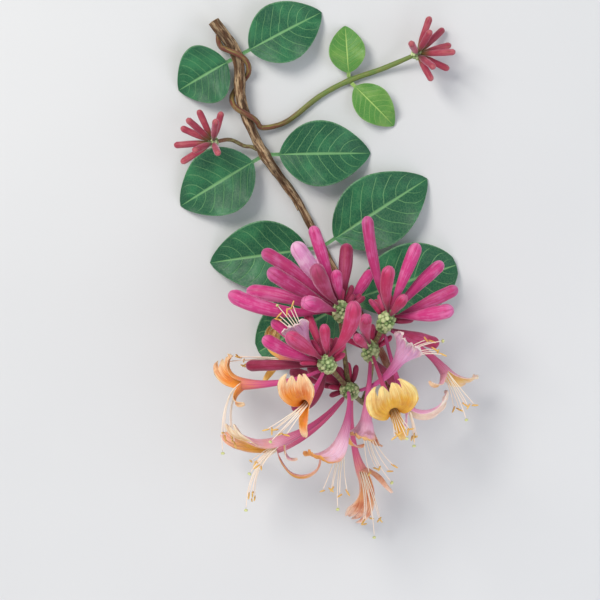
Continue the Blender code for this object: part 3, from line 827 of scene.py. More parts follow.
def bud_look() -> bpy.types.NodeTree:
    """Skin of a bud: darker neck, bright club, paler streaks along it, painted shade in the seams of its
    lobes and a fine down.

    Returns:
        The node group.
    """
    look = SharedLook("bud_look", ("Club", "Pale", "NeckAndSeamShade"))
    g, into = look.graph, look.into
    run = g.plan()[1]
    streaks = g.noise(1.8, 4, stretch=(9, 1.4))
    cloud = g.noise(190, 3)
    down = g.noise(2400, 2)
    colour = g.blend(g.rise(run, 0.02, 0.42), into["NeckAndSeamShade"], into["Club"])
    pale = g.times(g.rise(g.plus(streaks, cloud), 0.92, 1.22), g.rise(run, 0.15, 0.6))
    colour = g.blend(g.times(pale, 0.55), colour, into["Pale"])
    colour = g.blend(g.rise(run, 0.90, 1.0, 0, 0.45), colour, into["Pale"])
    # Painted shade: the neck's darker colour laid into the seams of the folded lobes, as deep as the seams
    # carried in tint.
    seam = g.rise(g.note("tint"), 0.0, 1.0, 0, 0.55)
    colour = g.blend(seam, colour, into["NeckAndSeamShade"])
    colour = g.blend(g.rise(down, 0.55, 0.8, 0, 0.22), colour, into["Pale"])
    height = g.plus(g.times(streaks, 0.5), g.times(down, 0.5))
    return look.close(colour, g.rise(down, 0.3, 0.7, 0.46, 0.62), height)


def leaf_look() -> bpy.types.NodeTree:
    """Leaf blade: pale midrib, arched side veins, a fine net between them and a bluish underside.

    Returns:
        The node group.
    """
    look = SharedLook("leaf_look", ("Green", "Vein", "Fresh", "Under"))
    g, into = look.graph, look.into
    span, run = g.plan()
    side = g.work_out("ABSOLUTE", g.minus(g.times(span, 2.0), 1.0))
    midrib = g.rise(side, 0.015, 0.06, 1, 0)
    cloud = g.noise(95, 4)
    bent = g.minus(g.times(run, 9.0), g.times(g.work_out("POWER", side, 1.3), 2.1))
    bent = g.plus(bent, g.times(cloud, 0.6))
    wave = g.work_out("ABSOLUTE", g.minus(g.work_out("FRACT", bent), 0.5))
    within = g.times(g.rise(side, 0.74, 0.95, 1, 0), g.rise(run, 0.82, 0.96, 1, 0))
    veins = g.times(g.rise(wave, 0.0, 0.06, 1, 0), within)
    net = g.rise(g.cells((20, 48), "DISTANCE_TO_EDGE"), 0.0, 0.14, 1, 0)
    lines = g.work_out("MAXIMUM", midrib, g.times(veins, 0.75))
    grain = g.noise(1500, 2)
    top = g.blend(g.rise(cloud, 0.42, 0.72, 0, 0.8), into["Green"], into["Fresh"])
    top = g.blend(g.times(net, 0.14), top, into["Vein"])
    top = g.blend(g.times(lines, 0.85), top, into["Vein"])
    top = g.blend(g.rise(side, 0.93, 1.0, 0, 0.35), top, into["Vein"])
    under = g.blend(g.times(lines, 0.5), into["Under"], into["Vein"])
    colour = g.blend(g.note("inner"), top, under)
    colour = g.blend(g.rise(run, 0.06, 0.12, 0.7, 0), colour, into["Vein"])
    hollow = g.plus(g.times(lines, 0.8), g.times(net, 0.12))
    height = g.minus(g.times(grain, 0.18), hollow)
    return look.close(colour, g.rise(grain, 0.3, 0.7, 0.38, 0.54), height)


def stem_look() -> bpy.types.NodeTree:
    """Stem skin: long fibres, cracks between them, and a colour that changes from one end to the other.

    Returns:
        The node group.
    """
    look = SharedLook("stem_look", ("Old", "Fibre", "Crack", "Young"), ("Turn", "Coarse"))
    g, into = look.graph, look.into
    run = g.plan()[1]
    fibres = g.noise(1.0, 5, 0.7, stretch=(8, 15))
    fine = g.noise(1.0, 4, 0.6, stretch=(26, 44))
    flakes = g.cells((5, 13))
    grain = g.noise(1800, 2)
    youth = g.rise(g.minus(g.plus(run, g.times(fibres, 0.25)), into["Turn"]), 0.0, 0.30)
    bark = g.blend(g.rise(fibres, 0.45, 0.57), into["Old"], into["Fibre"])
    bark = g.blend(g.rise(flakes, 0.45, 0.75, 0, 0.55), bark, into["Crack"])
    bark = g.blend(g.rise(fine, 0.36, 0.48, 0.85, 0), bark, into["Crack"])
    skin = g.blend(g.rise(fine, 0.45, 0.6, 0, 0.55), into["Young"], into["Fibre"])
    colour = g.blend(youth, bark, skin)
    rough = g.times(g.minus(1.0, youth), into["Coarse"])
    relief = g.plus(fibres, g.times(fine, 0.9))
    height = g.plus(g.times(relief, g.plus(rough, 0.15)), g.times(grain, 0.08))
    return look.close(colour, g.plus(g.times(rough, 0.35), 0.48), height)


def bead_look() -> bpy.types.NodeTree:
    """Small round fruits-to-be: green that differs from bead to bead, painted shade low on each bead and on
    the knob's core between them, a painted highlight at the crown, and fine grain.

    Returns:
        The node group.
    """
    look = SharedLook("bead_look", ("Green", "Pale", "DarkAndShade"))
    g, into = look.graph, look.into
    run = g.plan()[1]
    grain = g.noise(1900, 3)
    cloud = g.noise(500, 2)
    colour = g.blend(g.note("tint"), into["Green"], into["Pale"])
    # On the beads this is painted shade, darker towards each bead's foot and on the knob's core between
    # them; on threads and anthers it is their own darker end.
    colour = g.blend(g.rise(run, 0.30, 0.85, 0.75, 0), colour, into["DarkAndShade"])
    # On the beads this is a painted highlight at each crown; on threads and anthers it is their own paler
    # end.
    colour = g.blend(g.rise(run, 0.84, 0.97, 0, 0.8), colour, into["Pale"])
    colour = g.blend(g.rise(cloud, 0.5, 0.7, 0, 0.3), colour, into["DarkAndShade"])
    return look.close(colour, g.rise(grain, 0.3, 0.7, 0.38, 0.55), grain)


def new_material(name: str) -> tuple[bpy.types.Material, Graph, Any]:
    """A new material.

    Args:
        name: Its name.

    Returns:
        The material, the graph of its nodes and its shader's inputs.
    """
    made = bpy.data.materials.new(name)
    made.use_nodes = True
    return made, Graph(made.node_tree), made.node_tree.nodes["Principled BSDF"].inputs


@dataclass(frozen=True)
class Finish:
    """A material that takes its colour, roughness and relief from one of the shared looks."""

    name: str
    look: Callable[[], bpy.types.NodeTree]
    inputs: dict[str, Any]
    relief: float = 0.08 * MM
    sheen: float = 0.0
    sheen_tint: Rgb = (255, 255, 255)
    glow: float = 0.0
    glow_reach: Rgb = (255, 200, 180)

    def material(self) -> bpy.types.Material:
        """The finished material, made once.

        Returns:
            The material of this name.
        """
        found = bpy.data.materials.get(self.name)
        if found:
            return found
        made, graph, shader = new_material(self.name)
        shared = bpy.data.node_groups.get(self.look.__name__) or self.look()
        group = graph.add("ShaderNodeGroup", node_tree=shared)
        for title, value in self.inputs.items():
            group.inputs[title].default_value = shade(value) if isinstance(value, tuple) else value
        bump = graph.add("ShaderNodeBump")
        graph.feed(bump.inputs["Strength"], 1.0)
        graph.feed(bump.inputs["Distance"], self.relief)
        graph.feed(bump.inputs["Height"], group.outputs["Height"])
        wanted = {
            "Base Color": group.outputs["Colour"],
            "Roughness": group.outputs["Roughness"],
            "Normal": bump.outputs["Normal"],
            "Sheen Weight": self.sheen,
            "Sheen Roughness": 0.4,
            "Sheen Tint": shade(self.sheen_tint),
            "Specular IOR Level": 0.35,
        }
        if self.glow:
            wanted["Subsurface Weight"] = self.glow
            wanted["Subsurface Radius"] = shade(self.glow_reach)[:3]
            wanted["Subsurface Scale"] = 1.2 * MM
        for title, value in wanted.items():
            graph.feed(shader[title], value)
        return made


def bud_finish(tone: BudTone) -> Finish:
    """The downy skin of a bud in its colours."""
    inputs = dict(zip(("Club", "Pale", "NeckAndSeamShade"), tone.value))
    return Finish("bud_" + tone.name.lower(), bud_look, inputs, 0.06 * MM, 0.5, (248, 210, 236))


def petal_finish(age: Age) -> Finish:
    """The skin of an open flower of its age."""
    inputs = dict(zip(("Tube", "Outside", "Inside", "Tip", "Blotch", "Spots"), age.value))
    return Finish("petal_" + age.name.lower(), petal_look, inputs, 0.10 * MM, 0.15, (250, 226, 238), 0.12)


LEAF_OLD = Finish(
    "leaf_dark", leaf_look,
    {"Green": (22, 84, 56), "Vein": (118, 172, 112), "Fresh": (48, 122, 78), "Under": (128, 168, 138)},
    0.16 * MM,
)
LEAF_YOUNG = Finish(
    "leaf_fresh", leaf_look,
    {"Green": (74, 134, 58), "Vein": (168, 200, 112), "Fresh": (124, 164, 78), "Under": (150, 182, 140)},
    0.14 * MM,
)
BARK = Finish(
    "vine_bark", stem_look,
    {"Old": (108, 76, 50), "Fibre": (196, 168, 132), "Crack": (46, 30, 20), "Young": (128, 68, 56),
     "Turn": 0.62, "Coarse": 1.0},
    0.7 * MM,
)
SHOOT = Finish(
    "shoot", stem_look,
    {"Old": (120, 66, 52), "Fibre": (138, 128, 66), "Crack": (92, 42, 42), "Young": (96, 124, 58),
     "Turn": 0.55, "Coarse": 0.3},
    0.2 * MM, 0.1,
)
STALK = Finish(
    "stalk", stem_look,
    {"Old": (112, 104, 62), "Fibre": (138, 136, 84), "Crack": (92, 46, 46), "Young": (126, 66, 60),
     "Turn": 0.7, "Coarse": 0.2},
    0.15 * MM, 0.1,
)
WOOD = Finish(
    "cut_wood", stem_look,
    {"Old": (206, 186, 138), "Fibre": (226, 212, 170), "Crack": (168, 142, 96), "Young": (150, 118, 78),
     "Turn": 0.8, "Coarse": 0.5},
    0.15 * MM,
)
# The beads' darker colour is painted shade at their feet and on the knob's core. Their paler colour is their
# own tone, which differs from bead to bead, and also a painted highlight at each crown.
BEADS = Finish(
    "green_beads", bead_look, {"Green": (122, 158, 90), "Pale": (212, 226, 168), "DarkAndShade": (44, 62, 34)},
    0.06 * MM,
)
FILAMENT = Finish(
    "stamen_thread", bead_look, {"Green": (244, 236, 208), "Pale": (250, 246, 230), "DarkAndShade": (240, 214, 200)},
    0.03 * MM, 0.1,
)
ANTHER = Finish(
    "anther", bead_look, {"Green": (222, 172, 82), "Pale": (236, 200, 120), "DarkAndShade": (190, 130, 60)},
    0.08 * MM,
)
STIGMA = Finish(
    "stigma", bead_look, {"Green": (196, 206, 130), "Pale": (222, 226, 166), "DarkAndShade": (170, 176, 100)},
    0.05 * MM,
)


def placed(name: str, data: Any) -> bpy.types.Object:
    """A new object in the scene.

    Args:
        name: Its name.
        data: Its mesh, lamp or lens.

    Returns:
        The object.
    """
    made = bpy.data.objects.new(name, data)
    bpy.context.scene.collection.objects.link(made)
    return made


def piece(name: str, skin: Skin, finishes: list[Finish], slot: str, *nodes: str) -> None:
    """Makes a finished piece, which rides on the plant's one body.

    Args:
        name: The piece's name.
        skin: Its surface.
        finishes: Its materials, in the order of the patches' slots.
        slot: The name of the material slot that the piece belongs to; not used.
        nodes: The solid model's nodes that it stands for.
    """
    made = placed(name, skin.make(name))
    for finish in finishes:
        made.data.materials.append(finish.material())
    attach(made, "root")
    if nodes:
        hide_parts(*nodes)
    LOG.info("%s: %d faces", name, len(made.data.polygons))


def add_bud(skin: Skin, points: Array, radii: Array, seed: int, sides: int, slot: int = 0) -> None:
    """Adds a bud: a circle carried along the path, pressed in along the seams of its folded lobes.

    The radius is r (1 - 0.09 g (1 + s)) (1 + 0.05 cos(a - b) + 0.02 sin(14 t + b)), where g is a narrow
    hump at each seam that starts on the club, s rises at the tip, t is the share along the bud and b is
    the side on which it bulges. The foot is closed.

    Args:
        skin: The surface that the bud joins.
        points: The middle line, with the places of tip_spacing.
        radii: Its radii.
        seed: Which way the seams and the bulge are turned.
        sides: Columns round the bud.
        slot: Which of the piece's materials the bud takes.
    """
    turn = 2 * math.pi * around(sides)
    share = np.linspace(0, 1, len(points))[:, None]
    first = seed * 1.7 + 0.5 * share
    fold = np.maximum(np.cos(2.5 * (turn - first)) ** 2 - 0.82, 0) / 0.18
    depth = fold * ease(share, 0.42, 0.85)
    uneven = 1 + 0.05 * np.cos(turn - seed) * ease(share, 0.1, 0.6) + 0.02 * np.sin(14 * share + seed)
    wide = radii[:, None] * (1 - 0.09 * depth * (1 + ease(share, 0.85, 1.0))) * uneven
    wide[0] = 0
    reference = UPWARDS if abs(unit(points[-1] - points[0])[2]) < 0.8 else (0.0, 1.0, 0.0)
    grid = carried_ring(points, wide, sides, reference)
    runs = tip_spacing(len(points))[:, None]
    # tint carries the depth of the seams, where the bud look paints shade.
    skin.add(grid, runs, around(sides), tint=np.clip(0.8 * depth, 0, 1), slot=slot)


@dataclass
class Buds:
    """The unopened flowers of the head."""

    rows: int = 50
    sides: int = 30

    def strand(self, bud: Bud) -> tuple[Array, Array]:
        """Where a bud grows.

        Args:
            bud: The bud, whose bow is two shares of its length, to the side and up.

        Returns:
            Its middle line and its radii.
        """
        whorl = WHORLS[bud.whorl]
        tip = at(bud.tip)
        foot = knob_surface(whorl, bud.tier, tip)
        chord = tip - foot
        side = unit(np.cross(UPWARDS, chord))
        lift = unit(np.cross(chord, side))
        via = (foot + tip) / 2 + 2 * np.linalg.norm(chord) * (bud.bow[0] * side + bud.bow[1] * lift)
        share = tip_spacing(self.rows)
        points = quadratic(foot - FOOT_IN * unit(chord), via, tip, share)
        return points, bud_radii(share, float(np.linalg.norm(chord)), bud.girth * MM)

    def build(self) -> None:
        """Makes each bud as its own piece."""
        for seed, (name, bud) in enumerate(BUDS.items()):
            skin = Skin()
            add_bud(skin, *self.strand(bud), seed, self.sides)
            piece("petals_" + name, skin, [bud_finish(bud.tone)], "bud", name)


@dataclass
class Corolla:
    """One open flower: a hollow tube that splits into a broad four-lobed lip and a narrow strap.

    pleat is the height of the lips' folds and twist, in radians, the broad lip's turn about its own line.
    hollow is the share of the tube at which its hollow starts, lobe_depth how far the dips between the
    lobes reach as a share of the lip, and strap_start how far under the mouth the strap's line starts.
    """

    name: str
    flower: Flower
    seed: int
    pleat: float = 0.24 * MM
    twist: float = 0.0
    wall: float = 0.34 * MM
    hollow: float = 0.22
    lobe_depth: float = 0.21
    strap_start: float = 2.2 * MM
    tube_rows: int = 30
    lip_rows: int = 40
    strap_rows: int = 34
    lip_columns: int = 49
    strap_columns: int = 15
    tube: Array = field(init=False)
    forward: Array = field(init=False)
    outward: Array = field(init=False)
    side: Array = field(init=False)

    def __post_init__(self) -> None:
        """Finds the tube's line and the directions at its mouth."""
        mouth, via = at(self.flower.mouth), at(self.flower.via)
        foot = knob_surface(WHORLS[self.flower.whorl], self.flower.tier, via)
        share = np.linspace(0, 1, self.tube_rows)
        self.tube = quadratic(foot - FOOT_IN * unit(via - foot), via, mouth, share)
        self.forward = unit(mouth - via)
        back = np.asarray(self.flower.back, float)
        self.outward = unit(back - (back @ self.forward) * self.forward)
        self.side = np.cross(self.forward, self.outward)

    def tube_grid(self, turn: Array, inset: float) -> Array:
        """Part of the tube: centre + (r - inset) w (sin a across + cos a above) over the turns a.

        The radius r is foot + (throat - foot) (0.35 t + 0.65 t^3) at share t, and w = 1 + 0.05 cos 4a in
        the tube's middle. The inner face starts at the share where the tube becomes hollow.

        Args:
            turn: The turns from the upper lip's side.
            inset: How far inside the outer skin the grid lies.

        Returns:
            A grid of the tube's rows by the turns.
        """
        t = np.linspace(0, 1, self.tube_rows)
        radius = TUBE_FOOT + (THROAT - TUBE_FOOT) * (0.35 * t + 0.65 * t**3)
        ways = tangents(self.tube)
        ways[-1] = self.forward
        across = unit(self.side - (ways @ self.side)[:, None] * ways)
        above = np.cross(across, ways)
        a = turn[None, :, None]
        ring = np.sin(a) * across[:, None] + np.cos(a) * above[:, None]
        middle = ease(t, 0.3, 0.8) * (1 - ease(t, 0.8, 1.0))
        ripple = 1 + 0.05 * np.cos(4 * turn)[None] * middle[:, None]
        reach = np.maximum(radius - inset, 0.35 * radius)[:, None] * ripple
        if inset:
            reach = reach * ease(t, self.hollow, 0.40)[:, None]
        else:
            reach[0] = 0
        return self.tube[:, None] + reach[..., None] * ring

    def lip_line(self, start: Array, outward: Array, lip: Lip, share: Array) -> tuple[Array, Array]:
        """Centres and normals of a lip, whose lean grows as the 1.2 power of its share.

        Args:
            start: Where it starts.
            outward: The direction it leans to.
            lip: Its sizes.
            share: Where along it to look, of any shape.

        Returns:
            Two arrays, each of the shape of share by three.
        """
        count = 120
        fine = np.linspace(0, 1, count + 1)
        angle = np.radians(lip.lean + lip.turn * fine**1.2)[:, None]
        ways = np.cos(angle) * self.forward + np.sin(angle) * outward
        normals = np.cos(angle) * outward - np.sin(angle) * self.forward
        steps = (ways[1:] + ways[:-1]) / 2 * lip.length * MM / count
        centres = start + np.vstack([np.zeros(3), np.cumsum(steps, axis=0)])
        return read_off(share, fine, centres), read_off(share, fine, normals)

    def broad_lip(self, inset: float) -> Array:
        """The broad lip: a gutter section that opens along the lip, its far edge cut into four lobes.

        At share s and place x from -1 to 1 across, the point is centre + (h / b) ((sin bx) side +
        (cos bx - 1) normal), where h is the half-width and b the bend, and s is scaled by an edge that
        dips at x = -1, -0.5, 0, 0.5 and 1. Side and normal turn about the lip's own line by its twist.
        Waves, pleats and the curl of the lobes are added along the section's outward direction.

        Args:
            inset: How far inside the outer face the grid lies.

        Returns:
            A grid of the lip's rows by its columns.
        """
        lip = self.flower.upper
        x = np.linspace(-1, 1, self.lip_columns)[None]
        s = np.linspace(0, 1, self.lip_rows)[:, None]
        lobes = 1 - np.abs(np.sin(2 * math.pi * x)) ** 0.8
        slant = 0.05 * np.sin(3 * x + self.seed)
        dips = self.lobe_depth * lobes * (1 + 0.4 * ease(np.abs(x), 0.8, 1.0))
        edge = 1 - ease(s, 0.25, 1.0) * (dips + slant)
        share = np.clip(s * edge, 0, 1)
        start = self.tube[-1] + self.outward * THROAT
        centre, normal = self.lip_line(start, self.outward, lip, share)
        half = 1.9 * THROAT + (lip.width * MM / 2 - 1.9 * THROAT) * np.minimum(share / 0.5, 1)
        half = half * np.sqrt(1 - 0.66 * np.clip((share - 0.55) / 0.45, 0, 1) ** 3)
        bend = THROAT_BEND - 1.5 * np.minimum(share / 0.6, 1)
        turn = x * bend
        settle = ease(share, 0.0, 0.2)[..., None]
        normal = unit(normal * settle + self.outward * (1 - settle))
        twist = (self.twist * ease(share, 0.1, 0.9))[..., None]
        across = np.cos(twist) * self.side - np.sin(twist) * normal
        normal = np.cos(twist) * normal + np.sin(twist) * self.side
        away = np.sin(turn)[..., None] * across + np.cos(turn)[..., None] * normal
        outer = centre + (half / bend)[..., None] * (away - normal)
        wave = 0.45 * MM * ease(share, 0.35, 1) * np.sin(9 * share + 5 * x + self.seed)
        folds = np.cos(4 * math.pi * x) + 0.7 * np.cos(10 * math.pi * x + share)
        pucker = self.pleat * ease(share, 0.12, 0.7) * folds
        curl = 1.3 * MM * ease(s, 0.82, 1.0) ** 2 * (1 - lobes)
        return outer + (wave + pucker + curl - inset)[..., None] * away

    def strap(self, inset: float) -> Array:
        """The narrow lip: it leaves the rest of the mouth's rim and narrows into a strap that curls away.

        The section is that of the broad lip, and its centre, normal, width and bend pass from the rim's
        to the strap's over the first 0.28 of its rows.

        Args:
            inset: How far inside the outer face the grid lies.

        Returns:
            A grid of the strap's rows by its columns.
        """
        lip = self.flower.lower
        y = np.linspace(-1, 1, self.strap_columns)[None]
        s = np.linspace(0, 1, self.strap_rows)[:, None]
        skip = self.strap_start / (lip.length * MM)
        share = skip + (1 - skip) * s
        outward = -self.outward
        root = self.tube[-1] + outward * THROAT * 0.7 - self.forward * self.strap_start
        centre, normal = self.lip_line(root, outward, lip, share[:, 0])
        centre = centre + normal * 0.4 * MM
        settle = ease(s, 0.0, 0.28)
        centre = centre * settle + (self.tube[-1] + outward * THROAT) * (1 - settle)
        normal = unit(normal * settle + outward * (1 - settle))
        start_bend = math.pi - THROAT_BEND
        width = lip.width * MM / 2 * np.sqrt(np.clip(1.12 - share**4, 0.1, 1))
        half = width * settle + start_bend * THROAT * (1 - settle)
        bend = 0.6 * settle + start_bend * (1 - settle)
        turn = y * bend
        away = np.sin(turn)[..., None] * self.side + np.cos(turn)[..., None] * normal[:, None]
        outer = centre[:, None] + (half / bend)[..., None] * (away - normal[:, None])
        wave = 0.18 * MM * settle * np.sin(11 * s + 3 * y + self.seed)
        return outer + (wave - inset)[..., None] * away

    def build(self) -> None:
        """Makes the tube, both lips and the rims between their faces as one closed skin."""
        skin = Skin()
        upper = np.linspace(-1, 1, self.lip_columns) * THROAT_BEND
        lower = math.pi - np.linspace(-1, 1, self.strap_columns) * (math.pi - THROAT_BEND)
        tube_run = np.linspace(0, 0.5, self.tube_rows)[:, None]
        hollow = int(self.hollow * self.tube_rows)
        for turn in (upper, lower):
            skin.add(self.tube_grid(turn, 0.0), tube_run, (turn / 4)[None])
            skin.add(self.tube_grid(turn, self.wall)[hollow:], tube_run[hollow:], (turn / 4)[None], 1.0)
        for shape, turn in ((self.broad_lip, upper), (self.strap, lower)):
            outer, inner_face = shape(0.0), shape(self.wall)
            run = np.linspace(0.5, 1, len(outer))[:, None]
            off = np.abs(np.linspace(-1, 1, len(turn)))[None]
            skin.add(outer, run, (turn / 4)[None], 0.0, off)
            skin.add(inner_face, run, (turn / 4)[None], 1.0, off)
            for edge, edge_run in ((np.s_[:, 0], 0.9), (np.s_[:, -1], 0.9), (np.s_[-1], 1.0)):
                skin.add_wall(outer[edge], inner_face[edge], edge_run)
        piece("petals_" + self.name, skin, [petal_finish(self.flower.age)], "petal", self.name)


@dataclass
class Stamens:
    """The five stamens and the longer style of one flower."""

    corolla: Corolla
    rows: int = 22
    sides: int = 10
    thin: float = 0.20 * MM
    anther: Place = (1.7 * MM, 0.42 * MM, 0.36 * MM)
    stigma: Place = (0.55 * MM, 0.8 * MM, 0.8 * MM)

    def strands(self) -> list[tuple[Array, bool]]:
        """Where the threads run, fanned across the mouth.

        Returns:
            For each its middle line, and whether it is the style.
        """
        frame = self.corolla
        start = frame.tube[-1] - frame.forward * 1.2 * MM - frame.outward * 0.4 * MM
        reach = at(frame.flower.stamens) - start
        deep = frame.tube[int(0.62 * frame.tube_rows)]
        made = []
        for k in range(6):
            fan = (k - 2.5) / 2.5
            root = start + frame.side * fan * 1.4 * MM + frame.outward * (0.25 - (k % 2) * 0.5) * MM
            style = k == 2
            size = (1.12 if style else 0.84 + 0.05 * (k % 3)) * float(np.linalg.norm(reach))
            way = unit(unit(reach) + 0.20 * fan * frame.side + (0.05 if k % 2 else -0.05) * frame.outward)
            tip = root + size * way
            via = root + frame.forward * size * 0.4 + (tip - root) * 0.12
            line = quadratic(root, via, tip, np.linspace(0, 1, 8))
            made.append((smooth_path(np.vstack([deep + (root - start) * 0.3, line]), self.rows), style))
        return made

    def pod(self, centre: Array, way: Array, side: Array, size: Place) -> Array:
        """A small oblong body with two grooves.

        It is centre + cos p length way + (sin p)^0.7 g (cos a width side + sin a depth up), with the
        grooves g = 1 - 0.22 |cos a|^6.

        Args:
            centre: Its middle.
            way: The direction it lies in.
            side: A direction near its own side.
            size: Half its length, width and depth.

        Returns:
            A grid of 9 rows by 11 columns.
        """
        p = np.linspace(0, math.pi, 9)[:, None, None]
        a = 2 * math.pi * around(10)[..., None]
        up = unit(np.cross(way, side))
        side = np.cross(up, way)
        groove = 1 - 0.22 * np.abs(np.cos(a)) ** 6
        ring = np.cos(a) * size[1] * side + np.sin(a) * size[2] * up
        return centre + np.cos(p) * size[0] * way + np.sin(p) ** 0.7 * groove * ring

    def build(self) -> None:
        """Makes the threads as one piece, and the anthers and stigma as another."""
        frame = self.corolla
        threads, heads = Skin(), Skin()
        runs = np.linspace(1.0, 0.4, 9)[:, None]
        for k, (line, style) in enumerate(self.strands()):
            radii = self.thin * (1.25 - 0.35 * np.linspace(0, 1, self.rows))
            threads.add_rod(line, radii, self.sides, frame.side, np.linspace(1, 0.35, self.rows))
            way = unit(line[-1] - line[-3])
            if style:
                grid = self.pod(line[-1], way, frame.side, self.stigma)
                heads.add(grid, runs, around(10), tint=0.6, slot=1)
                continue
            lean = math.radians(55 + 25 * math.sin(2.3 * k + frame.seed))
            lay = unit(math.cos(lean) * way + math.sin(lean) * (1 if k % 2 else -1) * frame.side)
            grid = self.pod(line[-1], lay, np.cross(lay, frame.outward), self.anther)
            heads.add(grid, runs, around(10), tint=0.2 + 0.12 * k)
        name = frame.name
        piece("threads_" + name, threads, [FILAMENT], "petal")
        piece("anthers_" + name, heads, [ANTHER, STIGMA], "petal")


def bead_cluster(
    skin: Skin, whorl: Whorl, radius: float, half: float, count: int, size: float, seed: int
) -> None:
    """Adds small beads over a knob, set on it by the golden angle.

    A bead of polar angle p and turn a points about outwards. Its height is
    1.25 cos p - 0.6 exp(-(p / 0.42)^2), whose last term dents the crown into the cup that its flower
    fell from, and its radius is (1 + 0.05 cos 5a) sin p.

    Args:
        skin: The surface that the beads join.
        whorl: The knob.
        radius: The knob's radius.
        half: Its half length along its axis.
        count: How many beads cover it.
        size: A bead's radius.
        seed: What their sizes are drawn from.
    """
    draw = np.random.default_rng(seed)
    middle, basis = knob_frame(whorl)
    axis = basis[2]
    ball = golden_ball(1 - 2 * (np.arange(count) + 0.5) / count)
    centre = middle + (ball * [radius, radius, half]) @ basis
    out = unit((ball / [radius, radius, half]) @ basis)
    out = unit(out + 0.25 * draw.normal(size=out.shape) + 0.25 * axis)
    first = unit(np.cross(out, axis + 0.01))
    second = np.cross(out, first)
    p = np.linspace(math.pi, 0, 9)[None, :, None, None]
    a = 2 * math.pi * around(9)[None, ..., None]
    tall = np.cos(p) * 1.25 - 0.6 * np.exp(-((p / 0.42) ** 2))
    wide = np.sin(p) * (1 + 0.05 * np.cos(5 * a))
    r = (size * draw.uniform(0.62, 1.25, count))[:, None, None, None]
    out, first, second = (v[:, None, None] for v in (out, first, second))
    grid = centre[:, None, None] + r * (tall * out + wide * (np.cos(a) * first + np.sin(a) * second))
    # runs go from each bead's foot to its crown; the bead look paints shade at the foot and a highlight at
    # the crown.
    runs = np.linspace(0, 1, 9)[None, :, None]
    skin.add(grid, runs, around(9)[None], tint=draw.uniform(0, 1, (count, 1, 1)))


def core(skin: Skin, whorl: Whorl, radius: float, half: float) -> None:
    """Adds the solid middle of a knob, an ellipsoid of polar angle p and turn a with gentle lumps.

    Its radius is multiplied by 1 + 0.05 sin 4a sin p sin 3p.

    Args:
        skin: The surface that it joins.
        whorl: The knob.
        radius: Its radius.
        half: Its half length along the knob's axis.
    """
    rows, sides = 19, 28
    p = np.linspace(0, math.pi, rows)[:, None, None]
    a = 2 * math.pi * around(sides)[..., None]
    centre, (side, up, axis) = knob_frame(whorl)
    lump = 1 + 0.05 * np.sin(4 * a) * np.sin(p) * np.sin(3 * p)
    body = np.cos(p) * half * axis + np.sin(p) * radius * lump * (np.cos(a) * side + np.sin(a) * up)
    # The core's lengthwise coordinate stays at 0.3 and below, so the bead look paints it in the darker
    # colour as shade between the beads.
    skin.add(centre + body, np.linspace(0.3, 0, rows)[:, None], around(sides))


def branch_end(end: Any) -> Array:
    """The point of a branch's end: the centre of a whorl named by its letter, or a place."""
    return at(WHORLS[end].centre if end in WHORLS else end)


